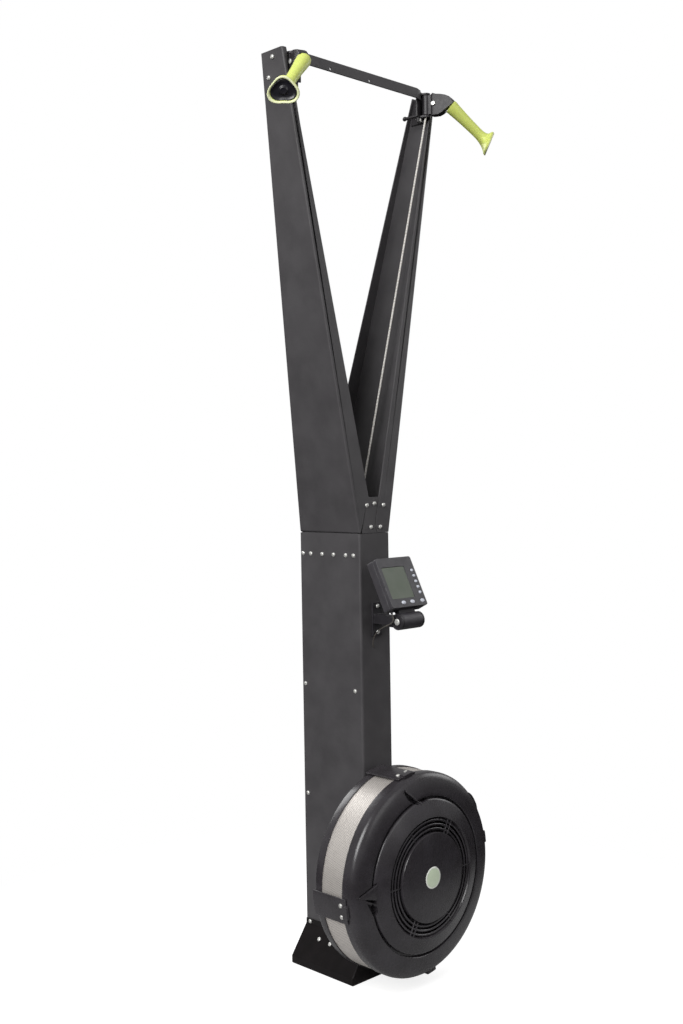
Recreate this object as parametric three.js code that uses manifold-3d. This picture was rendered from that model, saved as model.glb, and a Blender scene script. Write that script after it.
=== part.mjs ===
// Wall-mounted ski trainer: a folded sheet column on a floor foot, two splayed channel arms
// joined by a tie bar, an air flywheel in a round cage at the foot, a swivelling pulley at the
// top of each arm with a pull handle below it, and a tilting monitor on the column.
//
// Millimetres. +X is to the right of a person facing the machine, -Y points at that person,
// +Z is up. The origin is on the floor under the middle of the column.

import * as THREE from 'three';
import { mergeVertices } from 'three/addons/utils/BufferGeometryUtils.js';
import Module from 'manifold-3d';

const wasm = await Module();
wasm.setup();

// ---------------------------------------------------------------- driving dimensions

const SHEET = 3;              // wall of the folded sheet parts
const FIT = 0.3;              // gap between two pieces that touch
const CUT = 2;                // how far a cut runs past what it cuts
const SCREW_GAP = 0.3;        // radial room round a screw shank

const column = {
  width: 101,
  depth: 203,
  top: 1051,
  bend: 6,                    // outer radius of the folded edges
  backFlange: 20,             // how far the back plate's flanges reach forward
};

const arm = {
  seam: 1,                    // visible gap between column and arms
  height: 1083,               // of the arms above the column
  halfSpread: 257,            // middle of the machine to the outside of an arm, at the top
  frontTop: 89.2,             // how far the front edge is from the column's middle, at the top
  backTop: 19.4,              // the same for the back edge, which is also in front of the middle
  flangeTop: 12.6,            // width of the flanges at the top
  // The next three are heights above the column
  meetRise: 10,               // where the inner edges of the two front flanges would meet
  tabRise: 85.5,              // top edge of the tab that bridges the V
  reliefRise: 18.7,           // where the slit between the flanges turns
  reliefRun: 7.5,             // how far the slit runs sideways below that turn
  slit: 1.6,                  // width of the slit
  tongue: 67,                 // how far the arm reaches down inside the column
  tongueFront: 92,            // front edge of that tongue, from the column's middle
  screwDrop: 51,              // row of screws through the tongue, below the column's top
  joggle: 6,                  // height of the step that carries the tongue
};

const jointPlate = { rise: 5, height: 75, halfBottom: 40, halfTop: 52 };

const base = {
  plate: 4,
  lip: 18,                    // height of the upright edge
  flareTop: 86,
  collarTop: 98,
  halfWidth: 103.7,
  front: 108.3,               // from the column's middle to the front of the lip
};

const wheel = {
  height: 266.9,              // axle above the floor
  axle: 10,                   // axle radius
  axleNose: 150,              // front end of the axle, from the column's front face
  axleTail: 4,                // how far the axle's rear end passes its rear bearing
  shaftGap: 2,                // room round the axle in the covers and in the column wall
};

// Flywheel cage. Distances along the axle are counted forward from the column's front face.
const cage = {
  radius: 234.3,
  rearInset: 0.5,             // rear cover, band and shoulder inside that radius
  bandInset: 2.7,
  shoulderInset: 14.3,
  bandWall: 1.5,
  wall: 3,
  bossRadius: 70,
  rearRim: 19,
  rearRimInset: 9,
  bandRear: 44,
  bandFront: 109,
  rimFront: 131,
  shoulderFront: 145,
  ringFront: 150,
  stepInset: 37,              // from the shoulder in to the step
  stepWidth: 8,
  stepDepth: 3,
  coneRun: 38,                // radial width of the cone
  grilleRun: 34.5,            // radial width of the grille, down to the disc
  front: 168,
  grilleDepth: 5,
  grilleRings: 3,
  grilleBar: 4.5,
  ribs: 6,
  ribWidth: 5,
  sides: 40,
  discSides: 30,
};

const badge = { radius: 25, thick: 1.2 };

const clamp = {
  angles: { right: 8.5, top: 98.5, left: 187.3, bottom: 278.5 },
  sweep: 14,                  // degrees of rim that a clamp covers
  wall: 4,
  rear: 20,
  front: 124,
  bossRear: 114,
  bossFront: 130,
  bossRise: 4,
  screwSpacing: 26,
  screwRow: 109,
};

const rotor = { hub: 28, disc: 4, bladeInner: 112, tipGap: 20.3, rear: 50, front: 117, blades: 18, blade: 2.4,
  rim: 3, sides: 28 };

const damper = {
  discInset: 2.5,             // from the disc's edge in to the ring's bore
  width: 42,                  // radial width of the ring
  rear: 124,
  thick: 3,
  seatWall: 3,
  seatLip: 3,
  windows: 6,
  windowSweep: 30,            // degrees
  windowEdge: 7,
  leverAngle: 33.5,
  leverWidth: 14,
  knobRear: 115,
  knobSweep: 14,              // degrees along the rim
  knobWall: 6,                // at the middle of the knob, which thins out to both ends
  knobEnd: 1.2,
  travelDown: 10,             // degrees
  travelUp: 30,
  slotMargin: 6,
  slotRoom: 1.6,
};

// Drums on the axle, and the frame that holds the axle's two bearings inside the column.
const drum = { core: 20, flangeRise: 7, flange: 2, cordGroove: 12, returnGroove: 10, spacing: 4 };
const bearing = { radius: 18, width: 11, lip: 2, ballGap: 0.4 };
const axleFrame = { plate: 14, half: 40, below: 62, above: 54, web: 8 };

const cord = { radius: 2.4, sides: 8 };
const returnCord = { radius: 4, sides: 8, anchorHeight: 412 };

const guide = { rise: 34, pitch: 15, rim: 19, width: 9, pin: 3, cordGap: 5 };
const returnPulley = { drop: 125, pitch: 14, rim: 18, width: 12, pin: 4 };
const pulleyPlate = { above: 21, below: 28, tabDrop: 11, tabDepth: 26 };
const anchor = { left: 4, right: 12.5, thick: 8 };

// Pulley heads at the tops of the arms
const head = {
  inset: 32,                  // swivel axis to the outside of the arm's top
  y: -84,
  toe: 20,                    // degrees that the head looks outwards at rest
  // Heights about the bolt of its pulley, which lies below the arm's top
  boltDrop: 34.5,
  below: 28.5,
  above: 27.5,
  knuckle: 10,
  neck: 6,                    // half thickness between knuckle and body
  knuckleInset: 4,            // how far the knuckle stays inside the body's height
  bodyRear: 16,               // from the swivel axis to the rear of the body
  taper: 6,                   // how far the body takes to reach its full thickness
  half: 10.5,                 // half thickness of the body
  noseReach: 74,
  noseRise: -2,
  noseFlat: 4,
  mouthReach: 56,
  mouthDrop: 16.5,
  chinReach: 45,
  bottomReach: 35,
  topReach: 40,
  topFall: 6.5,               // from the rear of the body to the reach above
  cordHole: 6,
  mouthRadius: 9,
};
const topPulley = { reach: 23, pitch: 20, rim: 21, width: 11, room: 1, bolt: 4, boltHead: 5.6, headHeight: 3 };

const headBracket = {
  standOff: 12.5,             // from the swivel axis to the web
  web: 4,
  inner: 28,                  // reach of the web towards the middle, from the swivel axis
  ear: 5,
  earRadius: 11,
  notch: 14.5,                // radius of the arm's notch, which the neck swings in
  legFront: -67,
  legBack: -22,
  legBelow: 35.5,             // from the pulley's bolt, as the next one is
  legAbove: 28.5,
  peg: 4,
  pegLength: 36,
  pegHead: 6,
  pegDrop: 21.5,
};

const tieBar = { height: 24, thick: 4, bendInset: 38, endInset: 16, holes: [-108, 20], hole: 3, holeRise: 6 };

const handle = {
  length: 136,
  // Each handle's own way of hanging and the way that its foot faces: degrees outwards from
  // straight ahead, and degrees below level
  left: { azimuth: 68.8, dip: 42.8 },
  right: { azimuth: 67.2, dip: 38.5 },
  foot: { azimuth: 44.6, dip: 23.8 },
  topRadius: 15,
  waistRadius: 12,
  waistAt: 92,
  flareAt: 104,
  rimAt: 129,
  footHalfLong: 33.5,
  footHalfShort: 27.7,
  footLobe: 0.11,             // how three-cornered the foot is
  rim: 5,
  cupDepth: 13,
  bore: 3.4,
  knot: 7,
  seatGap: 0.6,
  sections: 16,
};

const monitor = {
  pivotY: -204.5,
  pivotDrop: 199.5,           // below the column's top
  tilt: 26.8,                 // degrees that the face leans back at rest
  width: 119.6,
  height: 124,
  faceReach: 23.1,            // pivot to the plane of the face
  bottomRise: 25.8,           // pivot to the bottom edge of the case
  frontDepth: 10,
  depth: 30,
  wall: 2.5,
  corner: 5,
  bulge: 9,
  bulgeInset: 15,
  barrel: 19,
  barrelHalf: 30.6,
  neck: 7,
  neckHalf: 27,
  boss: 5,
};
const screen = { x: -11.6, z: -0.8, width: 75, height: 78, thick: 2, sunk: 1 };
const sideButton = { x: 48.9, top: 26.4, pitch: 14.05, count: 5, halfWide: 4.6, halfHigh: 3.6 };
const baseButton = { xs: [-17.4, 12.4, 46.7], z: -50.3, halfWide: 7, halfHigh: 4.6 };
const button = { stand: 1.1, length: 9.2 };
const board = { thick: 1.6, inset: 9, standoff: 3 };
const cell = { radius: 7.2, length: 50, count: 3, spacing: 16, lift: 4 };

const bracket = {
  plateHalf: 16,
  plateBelow: 43.5,           // from the monitor's pivot, as the next three are
  plateAbove: 36.5,
  armBelow: 13.5,
  armAbove: 8.5,
  armHalf: 13,
  plate: 5,
  yokeRear: -176,
  yoke: 7,
  ear: 6,
  bolt: 4,
  boltHead: 6.5,
  boltHeadHeight: 3.5,
};
const cable = { radius: 1.5, sides: 8, x: -44 };

const screw = { shank: 2, length: 9, sides: 5 };

// ---------------------------------------------------------------- places worked out from them

const halfWidth = column.width / 2;
const front = -column.depth / 2;
const back = column.depth / 2;
const armBottom = column.top + arm.seam;
const armTop = column.top + arm.height;
const flangeMeet = column.top + arm.meetRise;
const tabTop = column.top + arm.tabRise;
const reliefTop = column.top + arm.reliefRise;
const boltHeight = armTop - head.boltDrop;
const legBottom = boltHeight - headBracket.legBelow;
const legTop = boltHeight + headBracket.legAbove;
const headBottom = boltHeight - head.below;
const headTop = boltHeight + head.above;
const noseHeight = boltHeight + head.noseRise;
const mouthHeight = boltHeight - head.mouthDrop;
const guideHeight = column.top + guide.rise;
const returnHeight = guideHeight - returnPulley.drop;
const pivotHeight = column.top - monitor.pivotDrop;
const rad = THREE.MathUtils.degToRad;

// A line through two heights, as a function of height
function lineAt(z0, v0, z1, v1) {
  return (z) => v0 + ((v1 - v0) * (z - z0)) / (z1 - z0);
}
const armOuter = lineAt(column.top, halfWidth, armTop, arm.halfSpread);
const armInner = lineAt(flangeMeet, 0, armTop, arm.halfSpread - arm.flangeTop);
const armFront = lineAt(column.top, front, armTop, -arm.frontTop);
const armBack = lineAt(column.top, back, armTop, -arm.backTop);
const armLean = Math.atan2(arm.halfSpread - halfWidth, arm.height);
const armWall = SHEET / Math.cos(armLean);

const rearRadius = cage.radius - cage.rearInset;
const bandRadius = cage.radius - cage.bandInset;
const shoulderRadius = cage.radius - cage.shoulderInset;
const stepRadius = shoulderRadius - cage.stepInset;
const stepInner = stepRadius - cage.stepWidth;
const coneInner = stepInner - cage.coneRun;
const discRadius = coneInner - cage.grilleRun;
const damperInner = discRadius - damper.discInset;
const damperOuter = damperInner + damper.width;
const bladeOuter = cage.radius - rotor.tipGap;

const toe = rad(head.toe);
const headX = arm.halfSpread - head.inset;

// ---------------------------------------------------------------- solids

// Every piece passes through here, so that it is one clean closed solid.
function solid(geometry) {
  const bare = geometry.index ? geometry.toNonIndexed() : geometry.clone();
  bare.deleteAttribute('normal');
  bare.deleteAttribute('uv');
  const merged = mergeVertices(bare, FIT / 1000);
  const index = merged.index.array;
  const triangles = [];
  for (let i = 0; i < index.length; i += 3) {
    const [a, b, c] = [index[i], index[i + 1], index[i + 2]];
    if (a !== b && b !== c && a !== c) triangles.push(a, b, c);
  }
  return new wasm.Manifold(new wasm.Mesh({
    numProp: 3,
    vertProperties: new Float32Array(merged.attributes.position.array),
    triVerts: new Uint32Array(triangles),
  }));
}

function join(...solids) {
  return solids.reduce((whole, next) => whole.add(next));
}

function toGeometry(manifold) {
  const mesh = manifold.getMesh();
  const geometry = new THREE.BufferGeometry();
  geometry.setAttribute('position', new THREE.BufferAttribute(new Float32Array(mesh.vertProperties), 3));
  geometry.setIndex(new THREE.BufferAttribute(new Uint32Array(mesh.triVerts), 1));
  return geometry;
}

function shapeOf(points) {
  return new THREE.Shape(points.map(([u, v]) => new THREE.Vector2(u, v)));
}

function extrude(shape, depth, curveSegments = 12) {
  return new THREE.ExtrudeGeometry(shape, { depth, bevelEnabled: false, curveSegments });
}

// Outline in x and y, from height z0 to z1
function plan(shape, z0, z1, curveSegments) {
  return solid(extrude(shape, z1 - z0, curveSegments).translate(0, 0, z0));
}

// Outline in x and z, from y0 to y1
function elevation(shape, y0, y1, curveSegments) {
  return solid(extrude(shape, y1 - y0, curveSegments).rotateX(Math.PI / 2).translate(0, y1, 0));
}

// Outline in y and z, from x0 to x1
const yzx = new THREE.Matrix4().set(0, 0, 1, 0, 1, 0, 0, 0, 0, 1, 0, 0, 0, 0, 0, 1);
function profile(shape, x0, x1, curveSegments) {
  return solid(extrude(shape, x1 - x0, curveSegments).applyMatrix4(yzx).translate(x0, 0, 0));
}

function box(x0, x1, y0, y1, z0, z1) {
  const geometry = new THREE.BoxGeometry(x1 - x0, y1 - y0, z1 - z0);
  return solid(geometry.translate((x0 + x1) / 2, (y0 + y1) / 2, (z0 + z1) / 2));
}

// A cylinder between two points
function rod(from, to, radius, sides = 16) {
  const axis = new THREE.Vector3().subVectors(to, from);
  const turn = new THREE.Quaternion().setFromUnitVectors(new THREE.Vector3(0, 1, 0), axis.clone().normalize());
  const geometry = new THREE.CylinderGeometry(radius, radius, axis.length(), sides);
  const middle = new THREE.Vector3().addVectors(from, to).multiplyScalar(1 / 2);
  return solid(geometry.applyQuaternion(turn).translate(middle.x, middle.y, middle.z));
}

function vec(x, y, z) {
  return new THREE.Vector3(x, y, z);
}

// Radius of a faceted hole whose flats clear a round piece of the given radius
function clearing(radius, sides) {
  return radius / Math.cos(Math.PI / sides);
}

// Turns a profile of [radius, height] points about +Y. The outline may be given either way round.
function turned(points, sides) {
  let area = 0;
  points.forEach(([r, h], i) => {
    const [r2, h2] = points[(i + 1) % points.length];
    area += r * h2 - r2 * h;
  });
  const outline = area < 0 ? [...points].reverse() : [...points];
  const onAxis = outline.findIndex(([r], i) => r === 0 && outline[(i + outline.length - 1) % outline.length][0] === 0);
  if (onAxis >= 0) outline.push(...outline.splice(0, onAxis));
  else outline.push(outline[0]);
  return new THREE.LatheGeometry(outline.map(([r, h]) => new THREE.Vector2(r, h)), sides);
}

// The same on the flywheel's axle: heights become distances forward of the column
function onAxle(points, sides = cage.sides) {
  return solid(turned(points, sides).rotateZ(Math.PI).translate(0, front, wheel.height));
}

// A route of straight stretches whose stations are its own points
class Route extends THREE.Curve {
  constructor(points) {
    super();
    this.points = points;
  }

  getPoint(t) {
    const place = Math.min(Math.max(t, 0), 1) * (this.points.length - 1);
    const i = Math.min(Math.floor(place + 1e-9), this.points.length - 2);
    return this.points[i].clone().lerp(this.points[i + 1], place - i);
  }

  getPointAt(t) {
    return this.getPoint(t);
  }

  getTangentAt(t) {
    const reach = 1 / (2 * (this.points.length - 1));
    return this.getPoint(t + reach).sub(this.getPoint(t - reach)).normalize();
  }
}

function tube(points, radius, sides) {
  const ring = [...Array(sides)].map((_, i) => [
    radius * Math.cos((2 * Math.PI * i) / sides),
    radius * Math.sin((2 * Math.PI * i) / sides),
  ]);
  const route = new Route(points);
  return solid(new THREE.ExtrudeGeometry(shapeOf(ring), { steps: points.length - 1, extrudePath: route }));
}

// Skin through closed rings of equal count, with flat ends
function loft(rings) {
  const count = rings[0].length;
  const triangles = [];
  const tri = (a, b, c) => triangles.push(...a.toArray(), ...b.toArray(), ...c.toArray());
  for (let r = 0; r + 1 < rings.length; r += 1) {
    for (let i = 0; i < count; i += 1) {
      const j = (i + 1) % count;
      tri(rings[r][i], rings[r][j], rings[r + 1][j]);
      tri(rings[r][i], rings[r + 1][j], rings[r + 1][i]);
    }
  }
  const cap = (ring, flip) => {
    const middle = ring.reduce((sum, p) => sum.add(p), vec(0, 0, 0)).multiplyScalar(1 / count);
    ring.forEach((p, i) => {
      const q = ring[(i + 1) % count];
      if (flip) tri(middle, q, p);
      else tri(middle, p, q);
    });
  };
  cap(rings[0], true);
  cap(rings[rings.length - 1], false);
  const geometry = new THREE.BufferGeometry();
  geometry.setAttribute('position', new THREE.Float32BufferAttribute(triangles, 3));
  return solid(geometry);
}

function mirrored(manifold) {
  return manifold.mirror([1, 0, 0]);
}

// ---------------------------------------------------------------- materials and nodes

const machine = new THREE.Group();

const looks = {
  powderCoat: { color: 0x4a484a, roughness: 0.55, metalness: 0.3 },
  glossBlack: { color: 0x1c1b1c, roughness: 0.3, metalness: 0.1 },
  blackPlastic: { color: 0x2a292b, roughness: 0.45, metalness: 0 },
  perforated: { color: 0xb8b2ac, roughness: 0.4, metalness: 0.6 },
  steel: { color: 0xc8c8c8, roughness: 0.3, metalness: 1 },
  castSteel: { color: 0x8b8d90, roughness: 0.5, metalness: 0.8 },
  lime: { color: 0xc8d860, roughness: 0.45, metalness: 0 },
  cord: { color: 0xe6e2dc, roughness: 0.9, metalness: 0 },
  rubber: { color: 0x1a1a1a, roughness: 0.85, metalness: 0 },
  nylon: { color: 0xd9d6cc, roughness: 0.5, metalness: 0 },
  badge: { color: 0xbcd2a8, roughness: 0.4, metalness: 0 },
  glass: { color: 0x646c5f, roughness: 0.15, metalness: 0 },
  key: { color: 0xbcc0cc, roughness: 0.5, metalness: 0 },
  boardGreen: { color: 0x2c5a3a, roughness: 0.6, metalness: 0 },
  cellWrap: { color: 0x8a8f96, roughness: 0.4, metalness: 0.4 },
};

function node(name, look, manifold) {
  const mesh = new THREE.Mesh(toGeometry(manifold), new THREE.MeshStandardMaterial(looks[look]));
  mesh.name = name;
  machine.add(mesh);
  return mesh;
}

// ---------------------------------------------------------------- screw holes

// The hole starts at `at` on a surface, and `out` points away from it
function screwHole(at, out, length = screw.length) {
  const way = out.clone().normalize();
  const reach = length + CUT;
  return rod(at.clone().addScaledVector(way, -reach), at.clone().addScaledVector(way, CUT),
    screw.shank + SCREW_GAP, screw.sides);
}

const flareOut = vec(base.flareTop - base.lip, 0, base.halfWidth - (halfWidth + FIT + SHEET));
function flareX(z) {
  return lineAt(base.lip, base.halfWidth, base.flareTop, halfWidth + FIT + SHEET)(z);
}

// Side screws as [y, z]: the row through the arm tongues, two pairs lower down, and the foot's.
// The tongues' row is below the column's top, and the arms' and front's screws are measured from the
// arm's top and the column's top.
const tongueRow = [92.5, 65.5, 26, -13.5, -54.5, -80.5].map((y) => [y, column.top - arm.screwDrop]);
const columnRow = [[91.5, 680], [-79.5, 680], [89, 410], [-80, 410]];
const collarScrews = [[86, 92]];
const flareScrews = [[38.2, 63.9], [-0.6, 62.2]];
const armScrews = [[-54, 15], [-32.7, 54.6]].map(([y, drop]) => [y, armTop - drop]);
const frontScrews = [[-24.7, 66.4], [0.5, 70.1], [31.6, 65.7], [-12.3, 14.9], [19.1, 14.3]]
  .map(([x, rise]) => [x, column.top + rise]);

function sideScrewPlaces(side) {
  const plain = [...tongueRow, ...columnRow].map(([y, z]) => [vec(side * halfWidth, y, z), vec(side, 0, 0)]);
  const collar = collarScrews.map(([y, z]) => [vec(side * (halfWidth + FIT + SHEET), y, z), vec(side, 0, 0)]);
  const flare = flareScrews.map(([y, z]) => [vec(side * flareX(z), y, z), vec(side * flareOut.x, 0, flareOut.z)]);
  const upper = armScrews.map(([y, z]) => [
    vec(side * armOuter(z), y, z), vec(side * Math.cos(armLean), 0, -Math.sin(armLean))]);
  return [...plain, ...collar, ...flare, ...upper];
}
const frontPlaces = frontScrews.map(([x, z]) => [vec(x, armFront(z), z), vec(0, -1, 0)]);
const screwPlaces = [...sideScrewPlaces(-1), ...sideScrewPlaces(1), ...frontPlaces];
const screwHoles = screwPlaces.map(([at, out]) => screwHole(at, out));

function drilled(manifold) {
  return screwHoles.reduce((rest, hole) => rest.subtract(hole), manifold);
}

// ---------------------------------------------------------------- column and foot

function columnOutline() {
  const r = column.bend;
  const inner = r - SHEET;
  const w = halfWidth;
  const shape = new THREE.Shape();
  shape.moveTo(-w, back);
  shape.lineTo(-w, front + r);
  shape.absarc(-w + r, front + r, r, Math.PI, 1.5 * Math.PI, false);
  shape.absarc(w - r, front + r, r, 1.5 * Math.PI, 2 * Math.PI, false);
  shape.lineTo(w, back);
  shape.lineTo(w - SHEET, back);
  shape.absarc(w - r, front + r, inner, 2 * Math.PI, 1.5 * Math.PI, true);
  shape.absarc(-w + r, front + r, inner, 1.5 * Math.PI, Math.PI, true);
  shape.lineTo(-w + SHEET, back);
  return shape;
}

const axleHole = rod(vec(0, front - CUT, wheel.height), vec(0, front + SHEET + CUT, wheel.height),
  wheel.axle + wheel.shaftGap, 20);
node('column_shell', 'powderCoat',
  drilled(plan(columnOutline(), base.plate + FIT, column.top, 3).subtract(axleHole)));

const tongueBottom = column.top - arm.tongue;
function backPlate() {
  const x = halfWidth - SHEET - FIT;
  const inner = x - SHEET;
  const shoulder = back - SHEET;
  const reach = shoulder - column.backFlange;
  const channel = shapeOf([[-x, back], [-x, reach], [-inner, reach], [-inner, shoulder],
    [inner, shoulder], [inner, reach], [x, reach], [x, back]]);
  const cover = box(-x, x, shoulder, back, base.plate + FIT, column.top);
  return join(plan(channel, base.plate + FIT, tongueBottom - CUT), cover);
}
node('column_back_plate', 'powderCoat', drilled(backPlate()));

function footSkirt() {
  const collar = halfWidth + FIT;
  const collarFront = front - FIT;
  const across = (edge, floor, x, top) => shapeOf([[-edge, floor], [edge, floor], [edge, base.lip],
    [x, base.flareTop], [x, top], [-x, top], [-x, base.flareTop], [-edge, base.lip]]);
  const along = (edge, floor, y, rear, top) => shapeOf([[rear, floor], [rear, top], [y, top],
    [y, base.flareTop], [edge, base.lip], [edge, floor]]);
  const outside = elevation(across(base.halfWidth, 0, collar + SHEET, base.collarTop), -base.front - CUT, back)
    .intersect(profile(along(-base.front, 0, collarFront - SHEET, back, base.collarTop),
      -base.halfWidth - CUT, base.halfWidth + CUT));
  const inside = elevation(across(base.halfWidth - SHEET, base.plate, collar, base.collarTop + CUT),
    -base.front - CUT, back + CUT)
    .intersect(profile(along(SHEET - base.front, base.plate, collarFront, back + CUT, base.collarTop + CUT),
      -base.halfWidth, base.halfWidth));
  return outside.subtract(inside);
}
node('base_bracket', 'glossBlack', drilled(footSkirt()));

// ---------------------------------------------------------------- arms

// Plate between two lines of the arm, `near` and `far` being x as functions of height
function leaning(near, far, z0, z1, y0, y1) {
  return elevation(shapeOf([[near(z0), z0], [far(z0), z0], [far(z1), z1], [near(z1), z1]]), y0, y1);
}

function slab(edge, z0, z1, thick) {
  const points = [[edge(z0), z0], [edge(z0) + thick, z0], [edge(z1) + thick, z1], [edge(z1), z1]];
  return profile(shapeOf(points), -arm.halfSpread - CUT, arm.halfSpread + CUT);
}

// The right arm. Its front flange stops at the slit; the left one carries the tab across the V.
function channelArm(withTab) {
  const z0 = armBottom;
  const z1 = armTop;
  const sideView = profile(shapeOf([[armFront(z0), z0], [armBack(z0), z0], [armBack(z1), z1], [armFront(z1), z1]]),
    0, arm.halfSpread + CUT);
  const side = leaning((z) => armOuter(z) - armWall, armOuter, z0, z1, front - CUT, back + CUT).intersect(sideView);

  const turn = reliefTop;
  const slitAt = (z) => armInner(z) + arm.slit / 2;
  const foot = slitAt(turn) + arm.reliefRun;
  const outer = [[armOuter(z0), z0], [armOuter(z1), z1]];
  const ownEdge = [[armInner(z1), z1], [slitAt(turn), turn], [foot, z0]];
  const tabEdge = [[armInner(z1), z1], [armInner(tabTop), tabTop],
    [arm.slit - armInner(tabTop), tabTop], [arm.slit - slitAt(turn), turn], [arm.slit - foot, z0]];
  const frontView = shapeOf([...outer, ...(withTab ? tabEdge : ownEdge)]);
  const frontFlange = elevation(frontView, front - CUT, 0).intersect(slab(armFront, z0, z1, SHEET));

  const meet = flangeMeet + CUT;
  const backView = shapeOf([...outer, [armInner(z1), z1], [armInner(meet), meet], [armInner(meet), z0]]);
  const backFlange = elevation(backView, -back, back + CUT).intersect(slab((z) => armBack(z) - SHEET, z0, z1, SHEET));

  const tongueX = halfWidth - SHEET - FIT;
  const tongueBack = back - SHEET - FIT;
  const tongue = box(tongueX - SHEET, tongueX, -arm.tongueFront, tongueBack, tongueBottom, z0 + arm.joggle);
  const joggle = box(tongueX - SHEET, halfWidth - SHEET / 2, -arm.tongueFront, tongueBack, z0, z0 + arm.joggle);
  const notch = rod(vec(headX, head.y, legBottom - CUT), vec(headX, head.y, armTop + CUT),
    Math.max(headBracket.earRadius + 2 * FIT, headBracket.notch), 16);
  return join(side, frontFlange, backFlange, tongue, joggle).subtract(notch);
}
node('left_arm', 'powderCoat', drilled(mirrored(channelArm(true))));
node('right_arm', 'powderCoat', drilled(channelArm(false)));

function joinPlate() {
  const { halfBottom, halfTop } = jointPlate;
  const bottom = column.top + jointPlate.rise;
  const top = bottom + jointPlate.height;
  const outline = shapeOf([[-halfBottom, bottom], [halfBottom, bottom], [halfTop, top], [-halfTop, top]]);
  return elevation(outline, front, 0).intersect(slab((z) => armFront(z) + SHEET + FIT, bottom, top, SHEET));
}
node('arm_joint_plate', 'powderCoat', drilled(joinPlate()));

// ---------------------------------------------------------------- pulley heads

// Places in a head's own directions: `s` out along its nose, `side` across it, and height
const noseWay = vec(Math.sin(toe), -Math.cos(toe), 0);
const acrossWay = vec(Math.cos(toe), Math.sin(toe), 0);
function headPoint(s, across, z) {
  return vec(headX, head.y, z).addScaledVector(noseWay, s).addScaledVector(acrossWay, across);
}

// Outline in reach and height, `half` thick to both sides, set in the head's directions
const headFrame = new THREE.Matrix4().makeBasis(noseWay, vec(0, 0, 1), acrossWay.clone().negate())
  .setPosition(headX, head.y, 0);
function headPlate(shape, from, to, curveSegments) {
  const geometry = extrude(shape, to - from, curveSegments).translate(0, 0, -to);
  return solid(geometry.applyMatrix4(headFrame));
}

const knuckleTop = headTop - head.knuckleInset;
const knuckleBottom = headBottom + head.knuckleInset;
const mouth = { s: (head.noseReach + head.mouthReach) / 2, z: (noseHeight - head.noseFlat + mouthHeight) / 2 };
const mouthWay = vec(noseHeight - head.noseFlat - mouthHeight, head.mouthReach - head.noseReach, 0)
  .normalize();
const mouthOut = noseWay.clone().multiplyScalar(mouthWay.x).add(vec(0, 0, mouthWay.y));
const mouthPoint = headPoint(mouth.s, 0, mouth.z);

function headOutline() {
  const shape = new THREE.Shape();
  shape.moveTo(head.bodyRear, headBottom);
  shape.lineTo(head.bottomReach, headBottom);
  shape.lineTo(head.chinReach, headBottom + head.noseFlat);
  shape.lineTo(head.mouthReach, mouthHeight);
  shape.lineTo(head.noseReach, noseHeight - head.noseFlat);
  shape.lineTo(head.noseReach, noseHeight);
  shape.quadraticCurveTo(head.noseReach - head.noseFlat, headTop - 2 * head.topFall, head.topReach,
    headTop - head.topFall);
  shape.lineTo(head.bodyRear, headTop - (head.topFall * head.bodyRear) / head.topReach);
  return shape;
}

function pulleyHousing() {
  const { bodyRear, taper, noseReach, half } = head;
  const planView = shapeOf([[bodyRear, -head.neck - CUT], [bodyRear + taper, -half], [noseReach, -half],
    [noseReach, half], [bodyRear + taper, half], [bodyRear, head.neck + CUT]]);
  const planFrame = new THREE.Matrix4().makeBasis(noseWay, acrossWay, vec(0, 0, 1)).setPosition(headX, head.y, 0);
  const planned = solid(extrude(planView, headTop).applyMatrix4(planFrame));
  const body = headPlate(headOutline(), -half, half, 4).intersect(planned);
  const neck = headPlate(shapeOf([[0, knuckleBottom], [bodyRear + taper, knuckleBottom],
    [bodyRear + taper, knuckleTop], [0, knuckleTop]]), -head.neck, head.neck);
  const knuckle = rod(headPoint(0, 0, knuckleBottom), headPoint(0, 0, knuckleTop), head.knuckle, 14);
  const pulleyRoom = rod(headPoint(topPulley.reach, -topPulley.width / 2 - FIT, boltHeight),
    headPoint(topPulley.reach, topPulley.width / 2 + FIT, boltHeight), topPulley.rim + topPulley.room, 20);
  const cordHole = rod(headPoint(0, 0, headBottom), headPoint(0, 0, boltHeight), head.cordHole, 10);
  const mouthHole = rod(mouthPoint.clone().addScaledVector(mouthOut, -head.mouthReach / 2),
    mouthPoint.clone().addScaledVector(mouthOut, CUT), head.mouthRadius, 12);
  const boltHole = rod(headPoint(topPulley.reach, -head.half - CUT, boltHeight),
    headPoint(topPulley.reach, head.half + CUT, boltHeight), topPulley.bolt + FIT, 10);
  return [pulleyRoom, cordHole, mouthHole, boltHole].reduce((rest, hole) => rest.subtract(hole),
    join(body, neck, knuckle));
}

function housingBolt() {
  const at = (across) => headPoint(topPulley.reach, across, boltHeight);
  const end = head.half + FIT;
  return join(rod(at(-end - topPulley.headHeight), at(-end), topPulley.boltHead, 10),
    rod(at(-end - topPulley.headHeight / 2), at(end + topPulley.headHeight / 2), topPulley.bolt, 10),
    rod(at(end), at(end + topPulley.headHeight), topPulley.boltHead, 10));
}

// A grooved wheel about +Y with its middle at the origin
function grooved(rim, pitch, cordRadius, width, bore, sides) {
  const floor = pitch - cordRadius - FIT;
  const groove = cordRadius + 2 * FIT;
  return turned([[bore, -width / 2], [rim, -width / 2], [rim, -groove], [floor, -groove], [floor, groove],
    [rim, groove], [rim, width / 2], [bore, width / 2]], sides);
}

function topPulleyWheel() {
  const middle = headPoint(topPulley.reach, 0, boltHeight);
  const turn = new THREE.Quaternion().setFromUnitVectors(vec(0, 1, 0), acrossWay);
  const wheelShape = grooved(topPulley.rim, topPulley.pitch, cord.radius, topPulley.width, topPulley.bolt + FIT, 16);
  return solid(wheelShape.applyQuaternion(turn).translate(middle.x, middle.y, middle.z));
}

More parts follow.
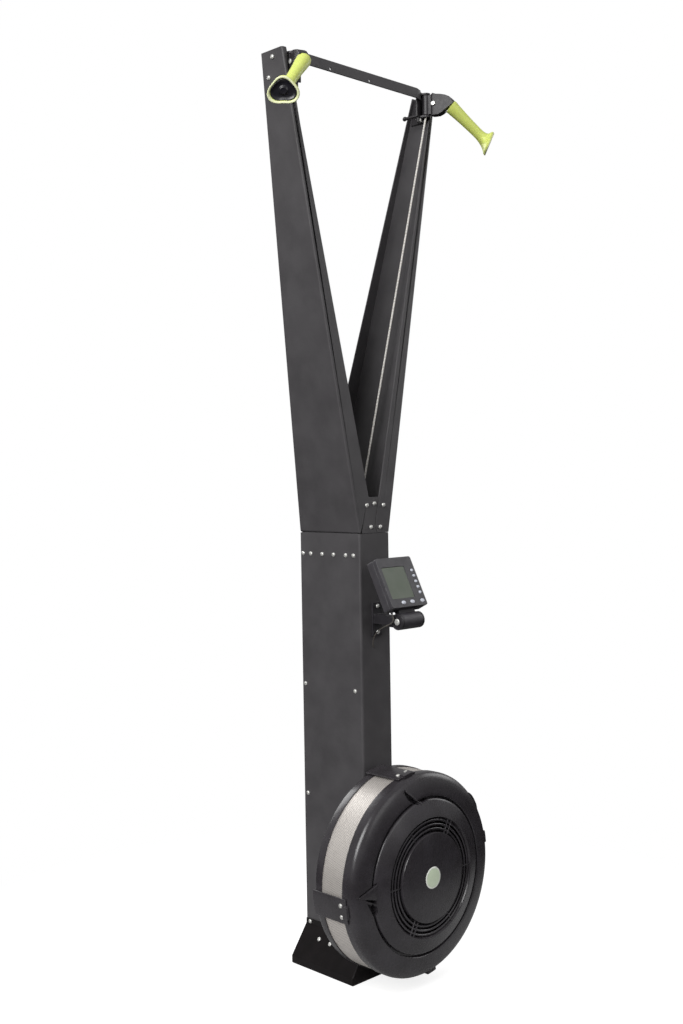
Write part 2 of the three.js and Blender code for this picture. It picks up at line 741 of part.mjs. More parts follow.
// The fixed bracket: a leg on the arm's side panel, a web behind the swivel axis and two ears
const webFront = -headBracket.standOff;
const webRear = webFront - headBracket.web;
function webReach(z) {
  const face = armOuter(z) - armWall - FIT;
  return (face - headPoint(webFront, 0, 0).x) / acrossWay.x;
}

function swivelBracket() {
  const panel = (z) => armOuter(z) - armWall - FIT;
  const leg = leaning((z) => panel(z) - SHEET, panel, legBottom, legTop,
    headBracket.legFront, headBracket.legBack);
  const z0 = headBottom - FIT - CUT;
  const z1 = armTop;
  const webOutline = [[-headBracket.inner, z0], [webReach(z0), z0], [webReach(z1), z1], [-headBracket.inner, z1]];
  // Here the outline is in reach across the head and height, and the thickness is along the nose
  const across = new THREE.Matrix4().makeBasis(acrossWay, vec(0, 0, 1), noseWay).setPosition(headX, head.y, 0);
  const web = solid(extrude(shapeOf(webOutline), headBracket.web).translate(0, 0, webRear).applyMatrix4(across));
  const ear = (low, high) => join(
    rod(headPoint(0, 0, low), headPoint(0, 0, high), headBracket.earRadius, 14),
    headPlate(shapeOf([[webFront - CUT / 2, low], [0, low], [0, high], [webFront - CUT / 2, high]]),
      -headBracket.earRadius, headBracket.earRadius),
  ).subtract(rod(headPoint(0, 0, low - CUT), headPoint(0, 0, high + CUT), head.cordHole, 10));
  const lower = ear(z0, knuckleBottom - FIT);
  const upper = ear(knuckleTop + FIT, knuckleTop + FIT + headBracket.ear);
  const pegFoot = headPoint(webRear + CUT / 2, -headBracket.inner / 2, boltHeight - headBracket.pegDrop);
  const pegEnd = pegFoot.clone().addScaledVector(noseWay, -headBracket.pegLength);
  const peg = rod(pegFoot, pegEnd, headBracket.peg, 8);
  const knob = solid(new THREE.SphereGeometry(headBracket.pegHead, 8, 6).translate(pegEnd.x, pegEnd.y, pegEnd.z));
  return join(web, lower, upper, peg, knob, leg);
}

for (const [name, flip] of [['left', mirrored], ['right', (m) => m]]) {
  node(`${name}_swivel_bracket`, 'blackPlastic', drilled(flip(swivelBracket())));
  node(`${name}_pulley_housing`, 'blackPlastic', flip(pulleyHousing()));
  node(`${name}_housing_bolt`, 'steel', flip(housingBolt()));
  node(`${name}_top_pulley`, 'nylon', flip(topPulleyWheel()));
}

// ---------------------------------------------------------------- tie bar

// Flat bar whose ends turn back along the webs of the two brackets
function topBar() {
  const rise = Math.tan(toe);
  const webAt = headPoint(webFront, 0, 0);
  const endBack = (x) => webAt.y + (x - webAt.x) * rise - FIT / Math.cos(toe);
  const bendAt = headX - tieBar.bendInset;
  const endAt = headX - tieBar.endInset;
  const run = tieBar.thick / Math.cos(toe);
  const backY = endBack(bendAt);
  const frontY = backY - tieBar.thick;
  const bend = bendAt + tieBar.thick * Math.tan(toe / 2);
  const half = [[bend, frontY], [endAt, endBack(endAt) - run],
    [endAt, endBack(endAt)], [bendAt, backY]];
  const outline = [...half, ...half.map(([x, y]) => [-x, y]).reverse()];
  const bar = plan(shapeOf(outline), armTop - tieBar.height, armTop);
  return tieBar.holes.reduce((rest, x) => {
    const z = armTop - tieBar.height + tieBar.holeRise;
    return rest.subtract(rod(vec(x, frontY - CUT, z), vec(x, backY + CUT, z), tieBar.hole, 12));
  }, bar);
}
node('top_bar', 'powderCoat', topBar());

// ---------------------------------------------------------------- handles

const hanging = ({ azimuth, dip }) => vec(
  Math.cos(rad(dip)) * Math.sin(rad(azimuth)),
  -Math.cos(rad(dip)) * Math.cos(rad(azimuth)),
  -Math.sin(rad(dip)),
);
const footWay = hanging(handle.foot);

// Ring at `t` along the handle that hangs along `pull`: a circle of radius r that turns
// three-cornered as `foot` goes to 1, and that turns to the way the foot faces as `tilt` does
function handleRing(pull, t, r, foot, inset = 0, tilt = foot) {
  const middle = mouthPoint.clone().addScaledVector(pull, t);
  const way = pull.clone().lerp(footWay, tilt).normalize();
  const side = new THREE.Vector3().crossVectors(vec(0, 0, 1), way).normalize();
  const up = new THREE.Vector3().crossVectors(way, side);
  return [...Array(handle.sections)].map((_, i) => {
    const angle = (2 * Math.PI * i) / handle.sections;
    const lobe = 1 + handle.footLobe * Math.cos(3 * (angle - Math.PI / 2));
    const long = THREE.MathUtils.lerp(r, handle.footHalfLong * lobe, foot) - inset;
    const short = THREE.MathUtils.lerp(r, handle.footHalfShort * lobe, foot) - inset;
    return middle.clone().addScaledVector(side, long * Math.cos(angle))
      .addScaledVector(up, short * Math.sin(angle));
  });
}

function grip(pull) {
  const { length, waistAt, flareAt, rimAt, topRadius, waistRadius } = handle;
  const middleRadius = (topRadius + waistRadius) / 2;
  const flare = [0.08, 0.3, 0.62];
  const flareStep = (rimAt - flareAt) / flare.length;
  const ring = (...rest) => handleRing(pull, ...rest);
  const shell = loft([
    ring(-topRadius, topRadius, 0),
    ring(waistAt / 2, middleRadius, 0),
    ring(waistAt, waistRadius, 0),
    ...flare.map((share, i) => ring(flareAt + i * flareStep, waistRadius, share)),
    ring(rimAt, waistRadius, 1),
    ring(length, waistRadius, 1),
  ]);
  const cup = loft([
    ring(length - handle.cupDepth, waistRadius, 1 / 2, handle.rim, 1),
    ring(length + CUT, waistRadius, 1, handle.rim),
  ]);
  const bore = rod(mouthPoint.clone().addScaledVector(pull, -topRadius - CUT),
    mouthPoint.clone().addScaledVector(pull, length), handle.bore, 8);
  // The top is trimmed parallel to the mouth that it seats on
  const trim = mouthPoint.clone().addScaledVector(mouthOut, handle.seatGap);
  const seat = rod(trim.clone().addScaledVector(mouthOut, -2 * topRadius), trim, 2 * head.noseReach, 24);
  return shell.subtract(cup).subtract(bore).subtract(seat);
}

function cordEnd(pull) {
  const at = (t) => mouthPoint.clone().addScaledVector(pull, t);
  const knotAt = at(handle.length - handle.cupDepth + (handle.knot + FIT) / footWay.dot(pull));
  const line = rod(at(-head.mouthRadius), knotAt, cord.radius, cord.sides);
  const knot = solid(new THREE.SphereGeometry(handle.knot, 8, 6).translate(knotAt.x, knotAt.y, knotAt.z));
  return join(line, knot);
}

for (const [name, flip] of [['left', mirrored], ['right', (m) => m]]) {
  const pull = hanging(handle[name]);
  node(`${name}_handle`, 'lime', flip(grip(pull)));
  node(`${name}_cord_end`, 'cord', flip(cordEnd(pull)));
}

// ---------------------------------------------------------------- cord drums, pulleys and cords

const drumWidth = 3 * drum.flange + drum.cordGroove + drum.returnGroove;
const framePlateRear = front + SHEET + FIT + axleFrame.plate;
const leftDrum = framePlateRear + FIT + drum.flange;
const rightDrum = leftDrum + drumWidth + drum.spacing;
// The left drum carries its return cord in front and the right one behind
const cordY = {
  left: leftDrum + 2 * drum.flange + drum.returnGroove + drum.cordGroove / 2,
  right: rightDrum + drum.flange + drum.cordGroove / 2,
};
const returnY = {
  left: leftDrum + drum.flange + drum.returnGroove / 2,
  right: rightDrum + 2 * drum.flange + drum.cordGroove + drum.returnGroove / 2,
};
const plateY = (cordY.left + cordY.right) / 2;
const framePlateFront = rightDrum + drumWidth + drum.flange + FIT;
const axleRear = framePlateFront + axleFrame.plate + wheel.axleTail;

function cordDrum(y0, grooves) {
  const rim = drum.core + drum.flangeRise;
  const bore = wheel.axle + FIT;
  const points = [[bore, 0], [rim, 0]];
  let y = drum.flange;
  grooves.forEach((width) => {
    points.push([rim, y], [drum.core, y], [drum.core, y + width], [rim, y + width]);
    y += width + drum.flange;
  });
  points.push([rim, y], [bore, y]);
  return solid(turned(points, 16).translate(0, y0, wheel.height));
}
node('left_cord_drum', 'castSteel', cordDrum(leftDrum, [drum.returnGroove, drum.cordGroove]));
node('right_cord_drum', 'castSteel', cordDrum(rightDrum, [drum.cordGroove, drum.returnGroove]));

function bearingFrame() {
  const z0 = wheel.height - axleFrame.below;
  const z1 = wheel.height + axleFrame.above;
  const near = front + SHEET + FIT;
  const far = framePlateFront + axleFrame.plate;
  const half = axleFrame.half;
  const body = join(box(-half, half, near, framePlateRear, z0, z1), box(-half, half, framePlateFront, far, z0, z1),
    box(-half, half, near, far, z0, z0 + axleFrame.web));
  const seat = (y0, y1) => rod(vec(0, y0, wheel.height), vec(0, y1, wheel.height), clearing(bearing.radius + FIT, 16), 16);
  const through = rod(vec(0, near - CUT, wheel.height), vec(0, far + CUT, wheel.height),
    bearing.radius - bearing.lip, 12);
  const width = bearing.width + FIT;
  return body.subtract(through).subtract(seat(near - CUT, near + width)).subtract(seat(far - width, far + CUT));
}
node('axle_frame', 'castSteel', bearingFrame());

function bearingAt(y0) {
  const inner = wheel.axle + FIT;
  const middle = (bearing.radius + inner) / 2;
  const shield = bearing.ballGap;
  return solid(turned([[inner, 0], [middle, shield], [bearing.radius, 0], [bearing.radius, bearing.width],
    [middle, bearing.width - shield], [inner, bearing.width]], 14).translate(0, y0, wheel.height));
}
node('front_axle_bearing', 'steel', bearingAt(front + SHEET + FIT));
node('rear_axle_bearing', 'steel', bearingAt(framePlateFront + axleFrame.plate - bearing.width));

// Guide pulleys turn the cords from the slope of the arms to the run down the column
const guideX = guide.cordGap + guide.pitch;
const returnX = returnPulley.pitch - (drum.core + returnCord.radius + FIT);

function wheelAt(x, y, z, rim, pitch, cordRadius, width, bore) {
  return solid(grooved(rim, pitch, cordRadius, width, bore, 14).translate(x, y, z));
}
for (const [name, side] of [['left', -1], ['right', 1]]) {
  node(`${name}_guide_pulley`, 'nylon', wheelAt(side * guideX, cordY[name], guideHeight, guide.rim, guide.pitch,
    cord.radius, guide.width, guide.pin + FIT));
  node(`${name}_return_pulley`, 'nylon', wheelAt(returnX, returnY[name], returnHeight, returnPulley.rim,
    returnPulley.pitch, returnCord.radius, returnPulley.width, returnPulley.pin + FIT));
}

function pulleyBracket() {
  const half = halfWidth - 2 * SHEET - 2 * FIT;
  const y0 = plateY - SHEET / 2;
  const y1 = plateY + SHEET / 2;
  const plateBottom = returnHeight - pulleyPlate.below;
  const plate = box(-half, half, y0, y1, plateBottom, guideHeight + pulleyPlate.above);
  const tab = box(half - SHEET, half, y0, y1 + pulleyPlate.tabDepth, plateBottom, column.top - pulleyPlate.tabDrop);
  const pin = (x, z, from, to, radius) => rod(vec(x, from, z), vec(x, to, z), radius, 12);
  const past = FIT + SHEET;
  const pins = [
    pin(-guideX, guideHeight, cordY.left - guide.width / 2 - past, plateY, guide.pin),
    pin(guideX, guideHeight, plateY, cordY.right + guide.width / 2 + past, guide.pin),
    pin(returnX, returnHeight, returnY.left - returnPulley.width / 2 - past, plateY, returnPulley.pin),
    pin(returnX, returnHeight, plateY, returnY.right + returnPulley.width / 2 + past, returnPulley.pin),
  ];
  return join(plate, tab, mirrored(tab), ...pins);
}
node('pulley_bracket', 'castSteel', pulleyBracket());

// Drive cord of one side: head, guide pulley, drum
function driveCord(side, y) {
  const top = vec(side * headX, head.y, knuckleBottom + CUT);
  const hub = vec(side * guideX, y, guideHeight);
  const drumX = drum.core + cord.radius + FIT;
  const lean = Math.atan2(headX - guide.cordGap, top.z - guideHeight);
  const fall = Math.atan2(side * drumX - guide.cordGap, guideHeight - wheel.height);
  const onPulley = (angle) => hub.clone().add(
    vec(-side * guide.pitch * Math.cos(angle), 0, guide.pitch * Math.sin(angle)));
  const end = vec(drumX, y, wheel.height);
  return tube([top, onPulley(lean), onPulley((lean - fall) / 2), onPulley(-fall), end], cord.radius, cord.sides);
}
node('left_drive_cord', 'cord', driveCord(-1, cordY.left));
node('right_drive_cord', 'cord', driveCord(1, cordY.right));

// Return cords: elastic, from the far side of each drum over a pulley and down to the anchor
function elasticCord(y) {
  const turns = 10;
  const arc = [...Array(turns + 1)].map((_, i) => {
    const angle = Math.PI - (Math.PI * i) / turns;
    return vec(returnX + returnPulley.pitch * Math.cos(angle), y, returnHeight + returnPulley.pitch * Math.sin(angle));
  });
  const x = returnX - returnPulley.pitch;
  return tube([vec(x, y, wheel.height), ...arc, vec(returnX + returnPulley.pitch, y, returnCord.anchorHeight + FIT)],
    returnCord.radius, returnCord.sides);
}
node('left_return_cord', 'rubber', elasticCord(returnY.left));
node('right_return_cord', 'rubber', elasticCord(returnY.right));

node('cord_anchor', 'castSteel', box(-anchor.left, anchor.right, front + SHEET + FIT,
  returnY.right + returnCord.radius + SHEET, returnCord.anchorHeight - anchor.thick, returnCord.anchorHeight));

// ---------------------------------------------------------------- flywheel

function axleShaft() {
  return rod(vec(0, front - wheel.axleNose, wheel.height), vec(0, axleRear, wheel.height), wheel.axle, 20);
}
node('flywheel_axle', 'steel', axleShaft());

function fan() {
  const middle = (rotor.rear + rotor.front) / 2;
  const bore = wheel.axle + FIT;
  const body = onAxle([[bore, rotor.rear], [rotor.hub, rotor.rear], [rotor.hub, middle - rotor.disc / 2],
    [bladeOuter - rotor.rim, middle - rotor.disc / 2], [bladeOuter - rotor.rim, rotor.rear],
    [bladeOuter, rotor.rear], [bladeOuter, middle + rotor.disc / 2],
    [rotor.hub, middle + rotor.disc / 2], [rotor.hub, rotor.front], [bore, rotor.front]], rotor.sides);
  const blade = box(rotor.bladeInner, bladeOuter - FIT, -rotor.front, -middle, -rotor.blade / 2, rotor.blade / 2);
  const blades = [...Array(rotor.blades)].map((_, i) =>
    blade.rotate([0, (360 * i) / rotor.blades, 0]).translate([0, front, wheel.height]));
  return join(body, ...blades);
}
node('flywheel_rotor', 'castSteel', fan());

// ---------------------------------------------------------------- cage

function rearCover() {
  const { wall, bossRadius, rearRim, rearRimInset, bandRear } = cage;
  const rim = rearRadius;
  const bore = wheel.axle + wheel.shaftGap;
  return onAxle([[bore, FIT], [bossRadius, FIT], [rim - rearRimInset, rearRim], [rim, rearRim + rearRimInset / 2],
    [rim, bandRear], [rim - wall, bandRear], [rim - wall, rearRim + rearRimInset],
    [rim - rearRimInset, rearRim + wall], [bossRadius, FIT + wall], [bore, FIT + wall]]);
}
node('rear_cover', 'glossBlack', rearCover());

node('perforated_band', 'perforated', onAxle([
  [bandRadius - cage.bandWall, cage.bandRear + FIT], [bandRadius, cage.bandRear + FIT],
  [bandRadius, cage.bandFront - FIT], [bandRadius - cage.bandWall, cage.bandFront - FIT]]));

// A pie slice in the plane of the wheel
function sector(inner, outer, from, to, near, far, segments) {
  const shape = new THREE.Shape();
  shape.absarc(0, 0, outer, rad(from), rad(to), false);
  shape.absarc(0, 0, inner, rad(to), rad(from), true);
  return elevation(shape, front - far, front - near, segments).translate([0, 0, wheel.height]);
}

function frontCover() {
  const { radius: rim, wall, rimFront, shoulderFront, ringFront, stepDepth, front: nose, bandFront,
    grilleDepth } = cage;
  const edge = (rim + shoulderRadius) / 2 + wall;
  const shoulder = (rimFront + shoulderFront) / 2 + wall;
  const ring = onAxle([[rim, bandFront], [rim, rimFront], [edge, shoulder], [shoulderRadius, shoulderFront],
    [stepRadius, ringFront], [stepInner, ringFront - stepDepth], [stepInner, ringFront + stepDepth],
    [coneInner, nose - stepDepth], [coneInner - wall, nose - stepDepth], [coneInner - wall, nose - grilleDepth - wall],
    [stepInner - wall, ringFront - stepDepth - wall], [shoulderRadius - wall, shoulderFront - 2 * wall],
    [rim - wall, rimFront - wall], [rim - wall, bandFront]]);

  const seat = damperInner - FIT;
  const disc = onAxle([[0, nose - wall], [seat - damper.seatWall, nose - wall],
    [seat - damper.seatWall, damper.rear - FIT - damper.seatLip], [seat + damper.seatLip, damper.rear - FIT - damper.seatLip],
    [seat + damper.seatLip, damper.rear - FIT], [seat, damper.rear - FIT], [seat, nose - grilleDepth - wall],
    [discRadius, nose - grilleDepth - wall], [discRadius, nose], [0, nose]], cage.discSides);

  const gap = (coneInner - discRadius - cage.grilleRings * cage.grilleBar) / (cage.grilleRings + 1);
  const low = nose - grilleDepth - wall;
  const rings = [...Array(cage.grilleRings)].map((_, i) => {
    const inner = discRadius + gap + i * (gap + cage.grilleBar);
    return onAxle([[inner, low], [inner + cage.grilleBar, low], [inner + cage.grilleBar, low + wall],
      [inner, low + wall]], cage.discSides);
  });
  const rib = box(discRadius - CUT / 2, coneInner, -low - wall, -low, -cage.ribWidth / 2, cage.ribWidth / 2);
  const ribs = [...Array(cage.ribs)].map((_, i) =>
    rib.rotate([0, (360 * i) / cage.ribs, 0]).translate([0, front, wheel.height]));

  const slotFrom = damper.leverAngle - damper.travelDown - damper.slotMargin;
  const slotTo = damper.leverAngle + damper.travelUp + damper.slotMargin;
  const slot = sector(rim - wall - CUT, rim + CUT, slotFrom, slotTo,
    damper.rear - damper.slotRoom, damper.rear + damper.thick + damper.slotRoom, 6);
  return join(ring, disc, ...rings, ...ribs).subtract(slot);
}
node('front_cover', 'glossBlack', frontCover());

// ---------------------------------------------------------------- damper

function damperRing() {
  const { rear, thick, windows, windowSweep, windowEdge, leverAngle, leverWidth } = damper;
  const far = rear + thick;
  const inner = damperInner;
  const outer = damperOuter;
  const bore = clearing(inner, cage.discSides);
  const ring = onAxle([[bore, rear], [outer, rear], [outer, far], [bore, far]], cage.discSides);
  const openings = [...Array(windows)].map((_, i) => {
    const middle = leverAngle + (360 * (i + 1 / 2)) / windows;
    return sector(inner + windowEdge, outer - windowEdge, middle - windowSweep / 2, middle + windowSweep / 2,
      rear - CUT, far + CUT, 3);
  });
  const place = (m) => m.rotate([0, -leverAngle, 0]).translate([0, front, wheel.height]);
  const outside = cage.radius + FIT + damper.slotRoom;
  const lever = place(box(outer - CUT, outside + damper.knobEnd, -far, -rear, -leverWidth / 2, leverWidth / 2));
  // The knob is a low pad along the rim, highest in its middle
  const steps = [-1, -0.8, -0.5, 0, 0.5, 0.8, 1];
  const along = (share, radius) => {
    const angle = rad(leverAngle + (share * damper.knobSweep) / 2);
    return [radius * Math.cos(angle), radius * Math.sin(angle)];
  };
  const swell = (share) => outside + THREE.MathUtils.lerp(damper.knobWall, damper.knobEnd, Math.abs(share) ** 3);
  const pad = shapeOf([...steps.map((share) => along(share, swell(share))),
    ...[...steps].reverse().map((share) => along(share, outside))]);
  const knob = elevation(pad, front - far, front - damper.knobRear).translate([0, 0, wheel.height]);
  return join(openings.reduce((rest, hole) => rest.subtract(hole), ring), lever, knob);
}
node('damper_ring', 'blackPlastic', damperRing());

// ---------------------------------------------------------------- clamps round the cage

const clampSeat = cage.radius + FIT;
function clampStrap(angle) {
  const half = clamp.sweep / 2;
  const strap = sector(clampSeat, clampSeat + clamp.wall, angle - half, angle + half, clamp.rear, clamp.front, 5);
  const boss = sector(clampSeat, clampSeat + clamp.wall + clamp.bossRise, angle - half / 2, angle + half / 2,
    clamp.bossRear, clamp.bossFront, 3);
  return join(strap, boss);
}

function clampScrewPlaces(angle) {
  const spread = THREE.MathUtils.radToDeg(clamp.screwSpacing / 2 / clampSeat);
  return [-spread, spread].map((turn) => {
    const a = rad(angle + turn);
    const way = vec(Math.cos(a), 0, Math.sin(a));
    const r = clampSeat + clamp.wall;
    const y = front - clamp.screwRow;
    return [vec(r * way.x, y, wheel.height + r * way.z), way];
  });
}
Object.entries(clamp.angles).forEach(([place, angle]) => {
  const holes = clampScrewPlaces(angle).map(([at, out]) => screwHole(at, out, clamp.wall));
  node(`${place}_clamp`, 'blackPlastic', holes.reduce((rest, hole) => rest.subtract(hole), clampStrap(angle)));
});

// ---------------------------------------------------------------- monitor bracket

const pivot = vec(0, monitor.pivotY, pivotHeight);
const yokeInner = monitor.barrelHalf + FIT;
const yokeOuter = yokeInner + bracket.ear;

function monitorBracket() {
  const plateFront = front - FIT - bracket.plate;
  const { plateHalf, armHalf, yokeRear, yoke } = bracket;
  const low = pivot.z - bracket.armBelow;
  const high = pivot.z + bracket.armAbove;
  const plate = box(-plateHalf, plateHalf, plateFront, front - FIT, pivot.z - bracket.plateBelow, pivot.z + bracket.plateAbove);
  const boom = box(-armHalf, armHalf, yokeRear - CUT, plateFront + CUT / 2, low, high);
  const cross = box(-yokeOuter, yokeOuter, yokeRear - yoke, yokeRear, low, high);
  const ear = join(rod(vec(yokeInner, pivot.y, pivot.z), vec(yokeOuter, pivot.y, pivot.z), monitor.barrel, 22),
    box(yokeInner, yokeOuter, pivot.y, yokeRear, low, high));
  const bolt = rod(vec(-yokeOuter - CUT, pivot.y, pivot.z), vec(yokeOuter + CUT, pivot.y, pivot.z),
    bracket.bolt + FIT, 10);
  const whole = join(plate, boom, cross, ear, mirrored(ear)).subtract(bolt);
  return bracketPlaces.reduce((rest, [at, out]) => rest.subtract(screwHole(at, out, bracketScrewLength)), whole);
}
const bracketScrewLength = bracket.plate - FIT;
const bracketEdge = (bracket.plateAbove - bracket.armAbove) / 3;
const bracketPlaces = [bracket.plateAbove - bracketEdge, bracketEdge - bracket.plateBelow].map((z) => [
  vec(0, front - FIT - bracket.plate, pivot.z + z), vec(0, -1, 0)]);
node('monitor_bracket', 'blackPlastic', monitorBracket());

function pivotBolt() {
  const at = (x) => vec(x, pivot.y, pivot.z);
  const end = yokeOuter + FIT;
  return join(rod(at(-end - bracket.boltHeadHeight), at(-end), bracket.boltHead, 12),
    rod(at(-end - bracket.boltHeadHeight / 2), at(end + bracket.boltHeadHeight / 2), bracket.bolt, 16),
    rod(at(end), at(end + bracket.boltHeadHeight), bracket.boltHead, 6));
}
node('monitor_pivot_bolt', 'steel', pivotBolt());

// ---------------------------------------------------------------- monitor

// Built level about its pivot, then leaned back in a group: x across, y into the case, z up
const tilted = new THREE.Group();
tilted.position.copy(pivot);
tilted.rotation.x = -rad(monitor.tilt);
machine.add(tilted);

const faceY = -monitor.faceReach;
const caseBottom = monitor.bottomRise;
const caseMiddle = caseBottom + monitor.height / 2;
const splitY = faceY + monitor.frontDepth;
const caseRear = faceY + monitor.depth;

function rounded(w, h, r, x = 0, z = 0) {
  const shape = new THREE.Shape();
  shape.absarc(x + w / 2 - r, z + h / 2 - r, r, 0, Math.PI / 2, false);
  shape.absarc(x - w / 2 + r, z + h / 2 - r, r, Math.PI / 2, Math.PI, false);
  shape.absarc(x - w / 2 + r, z - h / 2 + r, r, Math.PI, 1.5 * Math.PI, false);
  shape.absarc(x + w / 2 - r, z - h / 2 + r, r, 1.5 * Math.PI, 2 * Math.PI, false);
  return shape;
}

function ellipse(x, z, halfWide, halfHigh) {
  return new THREE.Shape().absellipse(x, z, halfWide, halfHigh, 0, 2 * Math.PI, false, 0);
}

const keys = [
  ...[...Array(sideButton.count)].map((_, i) => [
    `side_button_${i + 1}`, sideButton.x, caseMiddle + sideButton.top - i * sideButton.pitch,
    sideButton.halfWide, sideButton.halfHigh]),
  ...baseButton.xs.map((x, i) => [
    `base_button_${i + 1}`, x, caseMiddle + baseButton.z, baseButton.halfWide, baseButton.halfHigh]),
];
const screenX = screen.x;
const screenZ = caseMiddle + screen.z;

function frontCase() {
  const { width, height, wall, corner } = monitor;
  const inner = corner - wall;
  const body = elevation(rounded(width, height, corner, 0, caseMiddle), faceY, splitY - FIT / 2, 3);
  const hollow = elevation(rounded(width - 2 * wall, height - 2 * wall, inner, 0, caseMiddle),
    faceY + wall + screen.sunk, splitY + CUT, 3);
  const window = elevation(rounded(screen.width + 2 * FIT, screen.height + 2 * FIT, wall, screenX, screenZ),
    faceY - CUT, splitY, 2);
  const holes = keys.map(([, x, z, w, h]) => elevation(ellipse(x, z, w + FIT, h + FIT), faceY - CUT, splitY, 5));
  return [hollow, window, ...holes].reduce((rest, cut) => rest.subtract(cut), body);
}

function rearCase() {
  const { width, height, wall, corner, bulge, bulgeInset, barrel, barrelHalf, neck, neckHalf } = monitor;
  const inner = corner - wall;
  const body = elevation(rounded(width, height, corner, 0, caseMiddle), splitY + FIT / 2, caseRear, 3);
  const hump = elevation(rounded(width - 2 * bulgeInset, height - 2 * bulgeInset, corner, 0, caseMiddle),
    caseRear - CUT, caseRear + bulge, 3);
  const hollow = elevation(rounded(width - 2 * wall, height - 2 * wall, inner, 0, caseMiddle),
    splitY - CUT, caseRear - wall, 3);
  const humpHollow = elevation(rounded(width - 2 * bulgeInset - 2 * wall, height - 2 * bulgeInset - 2 * wall,
    inner, 0, caseMiddle), splitY, caseRear + bulge - wall, 3);
  const roll = rod(vec(-barrelHalf, 0, 0), vec(barrelHalf, 0, 0), barrel, 22);
  const stem = box(-neckHalf, neckHalf, -neck, caseRear, 0, caseBottom + wall);
  const boltHole = rod(vec(-barrelHalf - CUT, 0, 0), vec(barrelHalf + CUT, 0, 0), bracket.bolt + FIT, 10);
  const post = board.standoff;
  const postX = width / 2 - board.inset - post;
  const postZ = height / 2 - board.inset - post;
  const posts = [[-postX, -postZ], [postX, -postZ], [-postX, postZ], [postX, postZ]].map(([x, z]) =>
    rod(vec(x, splitY + FIT + board.thick + FIT, caseMiddle + z), vec(x, caseRear - wall / 2, caseMiddle + z), post, 8));
  const socket = rod(vec(cable.x, 0, caseBottom + wall / 2), vec(cable.x, 0, caseBottom - monitor.boss + FIT),
    2 * cable.radius, 10);
  return join(join(body, hump, roll, stem).subtract(hollow).subtract(humpHollow).subtract(boltHole),
    ...posts, socket);
}

// Cells side by side on a shallow tray
function batteryPack() {
  const y = caseRear + monitor.bulge - monitor.wall - FIT - cell.radius;
  const reach = ((cell.count - 1) / 2) * cell.spacing + cell.radius / 2;
  const tray = box(-cell.length / 2, cell.length / 2, y - cell.radius, y, caseMiddle - reach, caseMiddle + reach);
  const cells = [...Array(cell.count)].map((_, i) => {
    const z = caseMiddle + (i - (cell.count - 1) / 2) * cell.spacing;
    return rod(vec(-cell.length / 2, y, z), vec(cell.length / 2, y, z), cell.radius, 10);
  });
  return join(tray, ...cells);
}

function onMonitor(name, look, manifold) {
  tilted.add(node(name, look, manifold));
}
onMonitor('monitor_front_case', 'blackPlastic', frontCase());
onMonitor('monitor_rear_case', 'blackPlastic', rearCase());
onMonitor('lcd_window', 'glass', elevation(rounded(screen.width, screen.height, monitor.wall, screenX, screenZ),
  faceY + screen.sunk, faceY + screen.sunk + screen.thick, 2));
onMonitor('circuit_board', 'boardGreen', elevation(rounded(monitor.width - 2 * board.inset,
  monitor.height - 2 * board.inset, monitor.corner, 0, caseMiddle), splitY + FIT, splitY + FIT + board.thick, 2));
onMonitor('battery_pack', 'cellWrap', batteryPack());
keys.forEach(([name, x, z, halfWide, halfHigh]) => {
  onMonitor(name, 'key', elevation(ellipse(x, z, halfWide, halfHigh), faceY - button.stand,
    faceY - button.stand + button.length, 5));
});

// ---------------------------------------------------------------- monitor cable

// From the socket under the case, round to the bracket's plate on the column
const socketWay = vec(0, Math.sin(rad(monitor.tilt)), Math.cos(rad(monitor.tilt)));
const socketEnd = vec(cable.x, pivot.y, pivot.z).addScaledVector(socketWay, caseBottom - monitor.boss);
const cableRoute = [
  socketEnd,
  vec(-44, -200, 859.5),
  vec(-44, -196.5, 852),
  vec(-43.5, -187, 845),
  vec(-41, -172, 840),
  vec(-37, -156, 834),
  vec(-32, -138, 826),
  vec(-26, -120, 812),
  vec(-20, -110, 796),
  vec(-12, -103.6, 782),
];
node('monitor_cable', 'rubber', tube(cableRoute, cable.radius, cable.sides));

export default machine;
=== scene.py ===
import math
import bpy
from mathutils import Matrix, Vector


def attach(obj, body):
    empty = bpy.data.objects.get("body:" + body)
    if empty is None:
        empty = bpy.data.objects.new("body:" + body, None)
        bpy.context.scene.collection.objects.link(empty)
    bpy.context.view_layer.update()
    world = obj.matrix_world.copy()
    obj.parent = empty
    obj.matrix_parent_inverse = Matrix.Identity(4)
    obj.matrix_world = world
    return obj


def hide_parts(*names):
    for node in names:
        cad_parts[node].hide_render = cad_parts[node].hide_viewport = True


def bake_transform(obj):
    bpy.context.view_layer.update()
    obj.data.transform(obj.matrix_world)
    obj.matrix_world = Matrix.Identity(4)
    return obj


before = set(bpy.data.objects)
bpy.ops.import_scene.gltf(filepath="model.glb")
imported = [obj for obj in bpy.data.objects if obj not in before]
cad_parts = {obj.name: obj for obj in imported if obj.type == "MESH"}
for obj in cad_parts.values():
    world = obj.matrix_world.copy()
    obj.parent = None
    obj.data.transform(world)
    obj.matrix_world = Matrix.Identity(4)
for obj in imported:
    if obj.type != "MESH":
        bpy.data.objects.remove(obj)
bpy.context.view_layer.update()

MM = 0.001
WHEEL_HEIGHT = 266.9        # axle above the floor, mm
COLUMN_FRONT = -101.5       # y of the column's front face, mm
COLUMN_HALF = 50.5          # half the column's width, mm
CORD_RADIUS = 2.4           # mm
SIDES = {"left": -1, "right": 1}
WELD = 1e-6                 # vertices closer than this are one, m


# Camera

